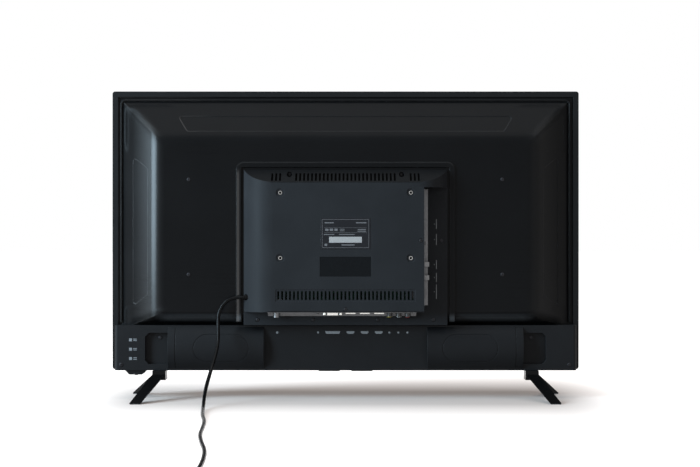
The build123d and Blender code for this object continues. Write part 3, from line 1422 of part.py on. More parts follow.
# Control pod under the cabinet: remote-control receiver in front, joystick key below
POD_TOP_WIDTH = 33.0
POD_BOTTOM_WIDTH = 20.0
POD_DROP = 6.8
POD_FRONT_GAP = 2.0
POD_RISE = 12.0
POD_WALL = 1.6
KEY_HOLE_RADIUS = 6.7
LENS_WIDTH = 14.0
LENS_TALL = 4.4
LENS_THICK = 1.2
KEY_BOARD_THICK = 1.2
SWITCH_SIDE = 12.0
SWITCH_HEIGHT = 6.5
SWITCH_WALL = 1.2
SWITCH_ROOF = 1.5
PIVOT_DROP = 4.0
PIN_RADIUS = 0.6
PIN_CLEARANCE = 0.05
RING_RADIUS = 4.2
RING_HOLE_RADIUS = 2.6
RING_HEIGHT = 2.4
STEM_RADIUS = 1.5
STEM_CLEARANCE = 0.05
STEM_TOP_GAP = 0.5
STEM_LENGTH = 14.8
CAP_RADIUS = 4.0
CAP_PROUD = 1.6
CAP_DOME = 1.4
CAP_RIM = 2.0
CAP_NECK_RADIUS = 2.6
CAP_NECK_RISE = 3.0
CAP_SHOULDER = 1.0
PRESS_ROOM = 0.8

pod_front = y_front + POD_FRONT_GAP
pod_back = y_pod + POD_DEPTH / 2
z_pod = z_low - POD_DROP
pod_top = z_low + POD_RISE
z_pivot = pod_top - PIVOT_DROP
stem_top = pod_top - SWITCH_ROOF - STEM_TOP_GAP
stem_bottom = stem_top - STEM_LENGTH
cap_bottom = z_pod - CAP_PROUD
cap_bore = STEM_RADIUS + STEM_CLEARANCE

with BuildPart() as control_pod:
    with BuildSketch(screen_plane(pod_front)):
        with BuildLine():
            Polyline(
                (pod_x - POD_TOP_WIDTH / 2, z_low),
                (pod_x + POD_TOP_WIDTH / 2, z_low),
                (pod_x + POD_BOTTOM_WIDTH / 2, z_pod),
                (pod_x - POD_BOTTOM_WIDTH / 2, z_pod),
                close=True,
            )
        make_face()
    extrude(amount=pod_front - pod_back)
    with BuildSketch(Plane.XY.offset(z_low)):
        with Locations((pod_x, y_pod)):
            Rectangle(POD_WIDTH, POD_DEPTH)
    extrude(amount=POD_RISE)
    with BuildSketch(Plane.XY.offset(z_pod + POD_WALL)):
        with Locations((pod_x, y_pod)):
            Rectangle(POD_WIDTH - 2 * POD_WALL, POD_DEPTH - 2 * POD_WALL)
    extrude(amount=POD_DROP + POD_RISE, mode=Mode.SUBTRACT)
    with BuildSketch(Plane.XY.offset(z_pod)):
        with Locations((pod_x, y_pod)):
            Circle(KEY_HOLE_RADIUS)
    extrude(amount=POD_WALL, mode=Mode.SUBTRACT)
    with BuildSketch(screen_plane(pod_front)):
        with Locations((pod_x, z_low - POD_DROP / 2)):
            Rectangle(LENS_WIDTH, LENS_TALL)
    extrude(amount=-LENS_THICK, mode=Mode.SUBTRACT)
save(control_pod, "control_pod")

with BuildPart() as receiver_lens:
    with BuildSketch(screen_plane(pod_front)):
        with Locations((pod_x, z_low - POD_DROP / 2)):
            Rectangle(LENS_WIDTH, LENS_TALL)
    extrude(amount=-LENS_THICK)
save(receiver_lens, "receiver_lens")

with BuildPart() as key_board:
    with BuildSketch(Plane.XY.offset(pod_top)):
        with Locations((pod_x, y_pod)):
            Rectangle(POD_WIDTH, POD_DEPTH)
    extrude(amount=KEY_BOARD_THICK)
save(key_board, "key_board")

with BuildPart() as joystick_housing:
    with BuildSketch(Plane.XY.offset(pod_top - SWITCH_HEIGHT)):
        with Locations((pod_x, y_pod)):
            Rectangle(SWITCH_SIDE, SWITCH_SIDE)
    extrude(amount=SWITCH_HEIGHT)
    with BuildSketch(Plane.XY.offset(pod_top - SWITCH_HEIGHT)):
        with Locations((pod_x, y_pod)):
            Rectangle(SWITCH_SIDE - 2 * SWITCH_WALL, SWITCH_SIDE - 2 * SWITCH_WALL)
    extrude(amount=SWITCH_HEIGHT - SWITCH_ROOF, mode=Mode.SUBTRACT)
    with BuildSketch(Plane.YZ.offset(pod_x)):
        with Locations((y_pod, z_pivot)):
            Circle(PIN_RADIUS + PIN_CLEARANCE)
    extrude(amount=SWITCH_SIDE / 2 - SWITCH_WALL / 4, both=True, mode=Mode.SUBTRACT)
save(joystick_housing, "joystick_housing")

with BuildPart() as joystick_cradle:
    with BuildSketch(Plane.XY.offset(z_pivot - RING_HEIGHT / 2)):
        with Locations((pod_x, y_pod)):
            Circle(RING_RADIUS)
    extrude(amount=RING_HEIGHT)
    with BuildSketch(Plane.YZ.offset(pod_x)):
        with Locations((y_pod, z_pivot)):
            Circle(PIN_RADIUS)
    extrude(amount=SWITCH_SIDE / 2 - SWITCH_WALL / 2, both=True)
    with BuildSketch(Plane.XY.offset(z_pivot - RING_HEIGHT / 2)):
        with Locations((pod_x, y_pod)):
            Circle(RING_HOLE_RADIUS)
    extrude(amount=RING_HEIGHT, mode=Mode.SUBTRACT)
    with BuildSketch(screen_plane(y_pod)):
        with Locations((pod_x, z_pivot)):
            Circle(PIN_RADIUS + PIN_CLEARANCE)
    extrude(amount=RING_RADIUS, both=True, mode=Mode.SUBTRACT)
save(joystick_cradle, "joystick_cradle")

with BuildPart() as joystick_stem:
    with BuildSketch(Plane.XY.offset(stem_bottom)):
        with Locations((pod_x, y_pod)):
            Circle(STEM_RADIUS)
    extrude(amount=STEM_LENGTH)
    with BuildSketch(screen_plane(y_pod)):
        with Locations((pod_x, z_pivot)):
            Circle(PIN_RADIUS)
    extrude(amount=(RING_RADIUS + RING_HOLE_RADIUS) / 2, both=True)
save(joystick_stem, "joystick_stem")

with BuildPart() as joystick_cap:
    with BuildSketch(Plane(origin=(pod_x, y_pod, 0), x_dir=(1, 0, 0), z_dir=(0, -1, 0))):
        with BuildLine():
            Line((0, stem_bottom - PRESS_ROOM), (0, cap_bottom))
            TangentArc((0, cap_bottom), (CAP_RADIUS, cap_bottom + CAP_DOME), tangent=(1, 0))
            Polyline(
                (CAP_RADIUS, cap_bottom + CAP_DOME),
                (CAP_RADIUS, cap_bottom + CAP_DOME + CAP_RIM),
                (CAP_NECK_RADIUS, cap_bottom + CAP_DOME + CAP_RIM + CAP_SHOULDER),
                (CAP_NECK_RADIUS, cap_bottom + CAP_DOME + CAP_RIM + CAP_SHOULDER + CAP_NECK_RISE),
                (cap_bore, cap_bottom + CAP_DOME + CAP_RIM + CAP_SHOULDER + CAP_NECK_RISE),
                (cap_bore, stem_bottom - PRESS_ROOM),
                (0, stem_bottom - PRESS_ROOM),
            )
        make_face()
    revolve(axis=Axis((pod_x, y_pod, 0), (0, 0, 1)))
save(joystick_cap, "joystick_cap")

# Mains lead: out of the cover's left flank, down behind the set and away over the table to a tied coil
GLAND_COLLAR_RADIUS = 7.0
GLAND_COLLAR_X = 137.5
GLAND_COLLAR_THICK = 3.0
GLAND_BUSH_END = 157.0
GLAND_END = 159.0
GLAND_END_RADIUS = 3.5
COIL_X = 117.0
COIL_Y = 880.0
COIL_OUTER = 40.0
COIL_STEP = 3.5
COIL_LOWER_CROSSINGS = 4
COIL_UPPER_CROSSINGS = 3
COIL_LIFT = 1.1
COIL_LAYER = 6.8
TIE_GAP = 0.3
TIE_THICK = 0.8
TIE_WIDTH = 4.0
TAIL_RUN = 18.0
TAIL_SHIFT = 2.0
PLUG_LENGTH = 35.0
PLUG_WIDTH = 26.0
PLUG_NECK_WIDTH = 15.0
PLUG_THICK = 13.7
PLUG_CORNER = 3.0
PLUG_BOSS_RADIUS = 4.0
PLUG_BOSS_LENGTH = 12.0
PLUG_PIN_RADIUS = 2.0
PLUG_PIN_LENGTH = 19.0
PLUG_PIN_SPACING = 19.0
BEND_SHARE = 0.45
COIL_STEPS = 500

z_coil = CORD_RADIUS + COIL_LIFT
coil_inner = COIL_OUTER - (COIL_LOWER_CROSSINGS - 1) * COIL_STEP
x_tail = COIL_X + coil_inner + (COIL_UPPER_CROSSINGS - 1) * COIL_STEP
y_tail = COIL_Y + 2 * CORD_RADIUS
z_plug = PLUG_THICK / 2

cord_route = [
    (GLAND_END, y_gland, z_gland),
    (173.5, y_gland, z_gland),
    (187.5, 23.0, 150.2),
    (195.5, 24.5, 136.0),
    (196.5, 27.5, 119.5),
    (195.5, 33.0, 103.0),
    (195.5, 43.0, 85.0),
    (199.5, 57.0, 66.5),
    (204.0, 76.0, 47.0),
    (208.0, 102.0, 28.5),
    (208.5, 132.0, 13.5),
    (206.5, 165.0, 5.0),
    (204.0, 202.0, CORD_RADIUS),
    (199.0, 262.0, CORD_RADIUS),
    (190.0, 330.0, CORD_RADIUS),
    (186.0, 404.0, CORD_RADIUS),
    (183.0, 480.0, CORD_RADIUS),
    (174.0, 556.0, CORD_RADIUS),
    (163.0, 630.0, CORD_RADIUS),
    (158.0, 704.0, CORD_RADIUS),
    (156.2, 778.0, CORD_RADIUS),
    (COIL_X + COIL_OUTER, 828.0, z_coil),
    (COIL_X + COIL_OUTER, COIL_Y - 2 * CORD_RADIUS, z_coil),
]
tail_route = [
    (x_tail, y_tail, z_coil + COIL_LAYER),
    (x_tail, y_tail + TAIL_RUN, z_coil + COIL_LAYER),
    (x_tail - TAIL_SHIFT, y_tail + 2 * TAIL_RUN, (z_coil + COIL_LAYER + z_plug) / 2),
    (x_tail - TAIL_SHIFT, y_tail + 3 * TAIL_RUN, z_plug),
    (x_tail - TAIL_SHIFT, y_tail + 4 * TAIL_RUN, z_plug),
]
x_plug, y_plug, z_plug_axis = tail_route[-1]


def bend_radii(route):
    """Radius of each corner of a route: as large as its two runs allow."""
    radii = []
    for before, corner, after in zip(route, route[1:], route[2:]):
        coming = Vector(*corner) - Vector(*before)
        going = Vector(*after) - Vector(*corner)
        half_turn = radians(coming.get_angle(going)) / 2
        radii.append(BEND_SHARE * min(coming.length, going.length) / tan(half_turn))
    return radii


def least_gap(path, radius, steps):
    """Least gap between a tube's turns, measured on points that lie evenly along its path."""
    points = [path @ (index / steps) for index in range(steps + 1)]
    apart = int(steps * 8 * radius / path.length)
    return min(
        (points[first] - points[second]).length
        for first in range(steps + 1)
        for second in range(first + apart, steps + 1)
    ) - 2 * radius


with BuildPart() as cord_gland:
    with BuildSketch(Plane.YZ.offset(GLAND_COLLAR_X)):
        with Locations((y_gland, z_gland)):
            Circle(GLAND_COLLAR_RADIUS)
    extrude(amount=GLAND_COLLAR_THICK)
    with BuildSketch(Plane.YZ.offset(GLAND_COLLAR_X)):
        with Locations((y_gland, z_gland)):
            Circle(GLAND_RADIUS)
    extrude(amount=GLAND_BUSH_END - GLAND_COLLAR_X)
    with BuildSketch(Plane.YZ.offset(GLAND_BUSH_END)):
        with Locations((y_gland, z_gland)):
            Circle(GLAND_RADIUS)
    with BuildSketch(Plane.YZ.offset(GLAND_END)):
        with Locations((y_gland, z_gland)):
            Circle(GLAND_END_RADIUS)
    loft()
save(cord_gland, "cord_gland")

for node, route in (("cord_run", cord_route), ("cord_tail", tail_route)):
    radii = bend_radii(route)
    with BuildPart() as cord:
        with BuildLine() as path:
            FilletPolyline(*route, radius=radii)
        wire = path.wire()
        with BuildSketch(Plane(origin=wire @ 0, z_dir=wire % 0)) as section:
            RegularPolygon(CORD_RADIUS, CORD_SIDES)
        sweep(path=wire)
    print(node, "length", wire.length, "radii", [round(radius) for radius in radii])
    print(node, "volume by section and length", cord.part.volume / (wire.length * section.sketch.area))
    save(cord, node)

# Coil: each crossing is a place where the lead passes the coil's middle line, in turn right and left of it
crossings = [
    (COIL_OUTER - COIL_STEP * index, z_coil) for index in range(COIL_LOWER_CROSSINGS)
] + [
    (coil_inner + COIL_STEP * index, z_coil + COIL_LAYER) for index in range(COIL_UPPER_CROSSINGS)
]
coil_places = [
    Vector(COIL_X + (-1) ** index * reach, COIL_Y, height) for index, (reach, height) in enumerate(crossings)
]

with BuildPart() as cord_coil:
    with BuildLine() as turns:
        Line(coil_places[0] - Vector(0, 2 * CORD_RADIUS, 0), coil_places[0])
        bow = 1
        for start, end in zip(coil_places, coil_places[1:]):
            middle = (start + end) / 2 + Vector(0, bow * (end - start).length / 2, 0)
            ThreePointArc(start, middle, end)
            bow = -bow
        Line(coil_places[-1], coil_places[-1] + Vector(0, 2 * CORD_RADIUS, 0))
    wire = turns.wire()
    with BuildSketch(Plane(origin=wire @ 0, z_dir=wire % 0)) as section:
        RegularPolygon(CORD_RADIUS, CORD_SIDES)
    sweep(path=wire)
save(cord_coil, "cord_coil")
print("cord_coil length", wire.length, "least gap", least_gap(wire, CORD_RADIUS, COIL_STEPS))
print("cord_coil volume by section and length", cord_coil.part.volume / (wire.length * section.sketch.area))

with BuildPart() as cord_tie:
    with BuildSketch(screen_plane(COIL_Y - TIE_WIDTH / 2)) as band:
        with Locations(*[(place.X, place.Z) for place in coil_places if place.X < COIL_X]):
            Circle(CORD_RADIUS + TIE_GAP + TIE_THICK)
        make_hull()
        with BuildSketch(mode=Mode.SUBTRACT):
            with Locations(*[(place.X, place.Z) for place in coil_places if place.X < COIL_X]):
                Circle(CORD_RADIUS + TIE_GAP)
            make_hull()
    extrude(amount=-TIE_WIDTH)
save(cord_tie, "cord_tie")

with BuildPart() as plug_body:
    with BuildSketch(screen_plane(y_plug)):
        with Locations((x_plug, z_plug_axis)):
            Circle(PLUG_BOSS_RADIUS)
    extrude(amount=-PLUG_BOSS_LENGTH)
    with BuildSketch(screen_plane(y_plug + PLUG_BOSS_LENGTH)):
        with Locations((x_plug, z_plug_axis)):
            RectangleRounded(PLUG_NECK_WIDTH, PLUG_THICK, PLUG_CORNER)
    with BuildSketch(screen_plane(y_plug + PLUG_BOSS_LENGTH + PLUG_LENGTH)):
        with Locations((x_plug, z_plug_axis)):
            RectangleRounded(PLUG_WIDTH, PLUG_THICK, PLUG_CORNER)
    loft()
save(plug_body, "plug_body")

with BuildPart() as plug_pins:
    with BuildSketch(screen_plane(y_plug + PLUG_BOSS_LENGTH + PLUG_LENGTH)):
        with Locations((x_plug, z_plug_axis)):
            with GridLocations(PLUG_PIN_SPACING, PLUG_PIN_SPACING, 2, 1):
                Circle(PLUG_PIN_RADIUS)
    extrude(amount=-PLUG_PIN_LENGTH)
save(plug_pins, "plug_pins")
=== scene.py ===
"""Flat screen television seen from behind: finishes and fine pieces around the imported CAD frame."""

import logging
import math
from collections.abc import Sequence
from dataclasses import dataclass
from enum import Enum

import bmesh
import bpy
import numpy as np
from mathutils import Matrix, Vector


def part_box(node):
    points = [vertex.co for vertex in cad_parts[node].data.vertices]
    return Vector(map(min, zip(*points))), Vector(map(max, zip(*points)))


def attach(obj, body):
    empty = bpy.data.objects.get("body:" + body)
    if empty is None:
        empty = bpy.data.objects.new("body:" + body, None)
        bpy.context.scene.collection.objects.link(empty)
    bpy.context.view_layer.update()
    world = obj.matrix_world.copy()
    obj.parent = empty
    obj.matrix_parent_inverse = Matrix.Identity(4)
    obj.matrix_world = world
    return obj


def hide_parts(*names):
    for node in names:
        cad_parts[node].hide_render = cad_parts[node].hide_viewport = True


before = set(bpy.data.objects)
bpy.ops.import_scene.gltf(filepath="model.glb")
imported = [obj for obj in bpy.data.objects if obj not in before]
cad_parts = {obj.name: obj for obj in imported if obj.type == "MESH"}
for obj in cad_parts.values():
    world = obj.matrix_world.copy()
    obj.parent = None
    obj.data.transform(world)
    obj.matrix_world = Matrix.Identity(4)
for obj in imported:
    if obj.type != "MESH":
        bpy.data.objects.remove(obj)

log = logging.getLogger("television")

MM = 0.001

Point = tuple[float, float, float]
Colour = tuple[float, float, float]
Outline = Sequence[tuple[float, float]]
Input = "Value | float | Sequence[float]"


class Value:
    """One output of a shader node; arithmetic on it adds Math nodes."""

    def __init__(self, graph: "Graph", socket: bpy.types.NodeSocket) -> None:
        """Keeps the socket.

        Args:
            graph: Graph that the socket belongs to.
            socket: Output that this value stands for.
        """
        self.graph = graph
        self.socket = socket

    def math(self, operation: str, first: Input, second: Input = 0.0, clamp: bool = False) -> "Value":
        """Adds one Math node.

        Args:
            operation: Blender's name of the operation.
            first: Value or number on the left.
            second: Value or number on the right.
            clamp: Whether the result is kept from 0 to 1.

        Returns:
            The node's result.
        """
        settings = {"operation": operation, "use_clamp": clamp}
        return self.graph.add("ShaderNodeMath", settings, {0: first, 1: second})

    def __add__(self, other: Input) -> "Value":
        """Sum."""
        return self.math("ADD", self, other)

    __radd__ = __add__

    def __sub__(self, other: Input) -> "Value":
        """Difference."""
        return self.math("SUBTRACT", self, other)

    def __rsub__(self, other: Input) -> "Value":
        """Difference with this value on the right."""
        return self.math("SUBTRACT", other, self)

    def __mul__(self, other: Input) -> "Value":
        """Product."""
        return self.math("MULTIPLY", self, other)

    __rmul__ = __mul__

    def __truediv__(self, other: Input) -> "Value":
        """Quotient."""
        return self.math("DIVIDE", self, other)

    def __pow__(self, other: Input) -> "Value":
        """Power."""
        return self.math("POWER", self, other)

    def __gt__(self, other: Input) -> "Value":
        """One where this value is greater, else zero."""
        return self.math("GREATER_THAN", self, other)

    def __lt__(self, other: Input) -> "Value":
        """One where this value is smaller, else zero."""
        return self.math("LESS_THAN", self, other)

    def size(self) -> "Value":
        """Value without its sign."""
        return self.math("ABSOLUTE", self)

    def held(self) -> "Value":
        """Value kept from 0 to 1."""
        return self.math("ADD", self, 0.0, clamp=True)

    def ramp(self, start: float, width: float) -> "Value":
        """Straight ramp from 0 to 1.

        Args:
            start: Value at which it leaves 0.
            width: How far on it reaches 1, negative for a ramp towards smaller values.

        Returns:
            Number from 0 to 1.
        """
        return ((self - start) / width).held()


class Graph:
    """Shader nodes of one material or world, added in code."""

    MIX_SOCKETS = {"RGBA": (0, 6, 7, 2), "VECTOR": (0, 4, 5, 1)}
    BEVEL_SAMPLES = 6
    EDGE_GAIN = 5.0

    def __init__(self, tree: bpy.types.NodeTree) -> None:
        """Empties the tree.

        Args:
            tree: Node tree to fill.
        """
        tree.nodes.clear()
        self.tree = tree

    def add(
        self,
        kind: str,
        settings: dict[str, object] | None = None,
        inputs: dict[str | int, Input] | None = None,
        output: str | int = 0,
    ) -> Value:
        """Adds any node.

        Args:
            kind: Node type.
            settings: Properties that are set first.
            inputs: Numbers or values for the node's sockets.
            output: Name or number of the output that is returned.

        Returns:
            That output, or the first input of a node without outputs.
        """
        node = self.tree.nodes.new(kind)
        for key, setting in (settings or {}).items():
            setattr(node, key, setting)
        for key, value in (inputs or {}).items():
            self.feed(node.inputs[key], value)
        if not node.outputs:
            return Value(self, node.inputs[0])
        return Value(self, node.outputs[output])

    def feed(self, socket: bpy.types.NodeSocket, value: Input) -> None:
        """Links a value to a socket, or sets a number on it.

        Args:
            socket: Input socket.
            value: Value, number or colour.
        """
        if isinstance(value, Value):
            self.tree.links.new(value.socket, socket)
        elif socket.type == "RGBA" and len(value) == 3:
            socket.default_value = (*value, 1.0)
        else:
            socket.default_value = value

    def place(self, centre: Point = (0.0, 0.0, 0.0)) -> Value:
        """Object coordinates, measured from a point.

        Args:
            centre: Point that becomes the pattern's middle.

        Returns:
            Vector in metres.
        """
        spot = self.add("ShaderNodeTexCoord", output="Object")
        offset = [-part for part in centre]
        return self.add("ShaderNodeMapping", {"vector_type": "POINT"}, {0: spot, "Location": offset})

    def noise(self, size: float, detail: float = 2.0, stretch: Point = (1.0, 1.0, 1.0)) -> Value:
        """Soft noise on Object coordinates.

        Args:
            size: Size of its spots in metres.
            detail: Octaves.
            stretch: Factors on the three axes.

        Returns:
            Number from 0 to 1.
        """
        spot = self.add(
            "ShaderNodeVectorMath", {"operation": "MULTIPLY"}, {0: self.place(), 1: stretch}
        )
        return self.add(
            "ShaderNodeTexNoise", None, {"Vector": spot, "Scale": 1.0 / size, "Detail": detail}
        )

    def cells(self, size: float, feature: str = "F1") -> Value:
        """Distance in a cell pattern on Object coordinates.

        Args:
            size: Size of a cell in metres.
            feature: Which distance.

        Returns:
            Distance in cells.
        """
        return self.add(
            "ShaderNodeTexVoronoi",
            {"feature": feature},
            {"Vector": self.place(), "Scale": 1.0 / size},
            "Distance",
        )

    def axis(self, name: str, centre: Point = (0.0, 0.0, 0.0)) -> Value:
        """One of the Object coordinates.

        Args:
            name: X, Y or Z.
            centre: Point that is zero.

        Returns:
            Length in metres.
        """
        return self.part(self.place(centre), name)

    def part(self, vector: Value, name: str) -> Value:
        """One component of a vector.

        Args:
            vector: The vector.
            name: X, Y or Z.

        Returns:
            The component.
        """
        return self.add("ShaderNodeSeparateXYZ", None, {0: vector}, name)

    def beyond(self, name: str, half: float, centre: Point = (0.0, 0.0, 0.0)) -> Value:
        """Distance beyond a stretch of one axis, below zero inside it.

        Args:
            name: X, Y or Z.
            half: Half length of the stretch.
            centre: Its middle.

        Returns:
            Length in metres.
        """
        return self.axis(name, centre).size() - half

    def mix(self, share: Input, first: Input, second: Input, kind: str = "RGBA") -> Value:
        """Mixes two colours or two vectors.

        Args:
            share: How much of the second.
            first: What stands at 0.
            second: What stands at 1.
            kind: RGBA for colours, VECTOR for vectors.

        Returns:
            The mixture.
        """
        *places, result = self.MIX_SOCKETS[kind]
        inputs = dict(zip(places, (share, first, second)))
        return self.add("ShaderNodeMix", {"data_type": kind}, inputs, result)

    def bump(self, height: Value, depth: float, base: Value | None = None) -> Value:
        """Surface relief.

        Args:
            height: Pattern from 0 to 1.
            depth: Depth of the pattern in metres.
            base: Normal that the relief stands on, or None for the mesh's own.

        Returns:
            Normal.
        """
        inputs: dict[str | int, Input] = {"Height": height, "Distance": depth}
        if base:
            inputs["Normal"] = base
        return self.add("ShaderNodeBump", None, inputs, "Normal")

    def rounded(self, radius: float) -> Value:
        """Normal with rounded edges.

        Args:
            radius: Radius in metres.

        Returns:
            Normal.
        """
        return self.add("ShaderNodeBevel", {"samples": self.BEVEL_SAMPLES}, {"Radius": radius})

    def blend(self, share: Value, first: Value, second: Value) -> Value:
        """Mixes two normals.

        Args:
            share: How much of the second.
            first: Normal at 0.
            second: Normal at 1.

        Returns:
            Unit normal.
        """
        return self.unit(self.mix(share, first, second, "VECTOR"))

    def unit(self, vector: Value) -> Value:
        """Vector with a length of one."""
        return self.add("ShaderNodeVectorMath", {"operation": "NORMALIZE"}, {0: vector})

    def true_normal(self) -> Value:
        """Normal of the mesh itself."""
        return self.add("ShaderNodeNewGeometry", output="Normal")

    def edges(self, radius: float) -> Value:
        """Mask of the edges, found with a rounded normal.

        Args:
            radius: Reach from an edge in metres.

        Returns:
            Number from 0 on flat faces to 1 at edges.
        """
        both = {0: self.rounded(radius), 1: self.true_normal()}
        alike = self.add("ShaderNodeVectorMath", {"operation": "DOT_PRODUCT"}, both, "Value")
        return ((1.0 - alike) * self.EDGE_GAIN).held()


class Slot(Enum):
    """Material slots of the record."""

    CABINET = "cabinet_plastic"
    TRAY = "tray_steel"
    SCREEN = "screen_glass"
    FOAM = "foam"
    WHITE = "white_sheet"
    LENS = "clear_lens"
    LAMP_BOARD = "lamp_board"
    SCREW = "screw_steel"
    POST = "post_steel"
    LABEL = "label_film"
    FOOT = "foot_plastic"
    PAD = "pad_rubber"
    BOARD = "circuit_board"
    COMPONENT = "dark_component"
    SLEEVE = "capacitor_sleeve"
    ALUMINIUM = "bare_aluminium"
    SOCKET_METAL = "socket_metal"
    TERMINAL = "terminal_steel"
    SOCKET_PLASTIC = "socket_plastic"
    SPEAKER = "speaker_plastic"
    CONE = "speaker_cone"
    MAGNET = "magnet"
    RECEIVER = "receiver_window"
    KEY = "key_plastic"
    SHEATH = "cord_sheath"
    PLUG = "plug_plastic"
    PIN = "pin_metal"
    TIE = "tie_plastic"


@dataclass(frozen=True)
class Finish:
    """Finish of one material, built from nodes.

    Attributes:
        name: Name of the material.
        colour: Mean colour.
        roughness: Mean roughness.
        specular: Reflection seen straight on, as a share of double the usual one.
        metallic: One for a bare metal.
        coat: Weight of a clear coat.
        coat_roughness: Roughness of that coat.
    """

    name: str
    colour: Colour
    roughness: float = 0.5
    specular: float = 0.3
    metallic: float = 0.0
    coat: float = 0.0
    coat_roughness: float = 0.03

    def build(self) -> bpy.types.Material:
        """Builds the material.

        Returns:
            The new material.
        """
        material = bpy.data.materials.new(self.name)
        material.use_nodes = True
        graph = Graph(material.node_tree)
        inputs: dict[str, Input] = {
            "Base Color": self.colour,
            "Roughness": self.roughness,
            "Specular IOR Level": self.specular,
            "Metallic": self.metallic,
            "Coat Weight": self.coat,
            "Coat Roughness": self.coat_roughness,
        }
        inputs.update(self.detail(graph))
        shader = graph.add("ShaderNodeBsdfPrincipled", None, inputs)
        graph.add("ShaderNodeOutputMaterial", None, {"Surface": shader})
        material.diffuse_color = (*self.colour, 1.0)
        return material

    def detail(self, graph: Graph) -> dict[str, Input]:
        """What varies over the surface.

        Args:
            graph: Graph of the material.

        Returns:
            Values for the shader's sockets.
        """
        raise NotImplementedError

    def shade(self, factor: float, lift: float = 0.0) -> list[float]:
        """Darker or lighter form of the mean colour.

        Args:
            factor: Factor on each part of it.
            lift: What is added to each part.

        Returns:
            Colour with no part above 1.
        """
        return [min(1.0, part * factor + lift) for part in self.colour]


@dataclass(frozen=True)
class MouldedPlastic(Finish):
    """Injection-moulded plastic with a spark-eroded grain.

    Attributes:
        grain: Size of the grain in metres.
        grain_depth: Depth of the grain in metres.
        wear: How much lighter the edges are.
        worn_edge: Reach of the lighter edges in metres.
        edge_radius: Radius of the edges in metres.
    """

    grain: float = 0.7 * MM
    grain_depth: float = 0.04 * MM
    wear: float = 0.35
    worn_edge: float = 0.7 * MM
    edge_radius: float = 0.5 * MM

    def detail(self, graph: Graph) -> dict[str, Input]:
        """Grain, a cloudy gloss, faint flow marks and edges that are a little lighter."""
        clouds = graph.noise(60 * MM, 3.0)
        smears = graph.noise(14 * MM, 4.0, (1.0, 1.0, 0.25))
        grain = graph.cells(self.grain)
        fine = graph.noise(self.grain / 3, 2.0)
        edge = graph.edges(self.worn_edge)
        colour = graph.mix(clouds, self.shade(0.85), self.shade(1.25, 0.001))
        colour = graph.mix(edge * self.wear, colour, self.shade(2.2, 0.012))
        rough = self.roughness + (clouds - 0.5) * 0.12 + (smears - 0.5) * 0.1 - edge * 0.08
        rounded = graph.rounded(self.edge_radius)
        relief = graph.bump(grain * 0.7 + fine * 0.3, self.grain_depth, rounded)
        return {"Base Color": colour, "Roughness": rough.held(), "Normal": relief}


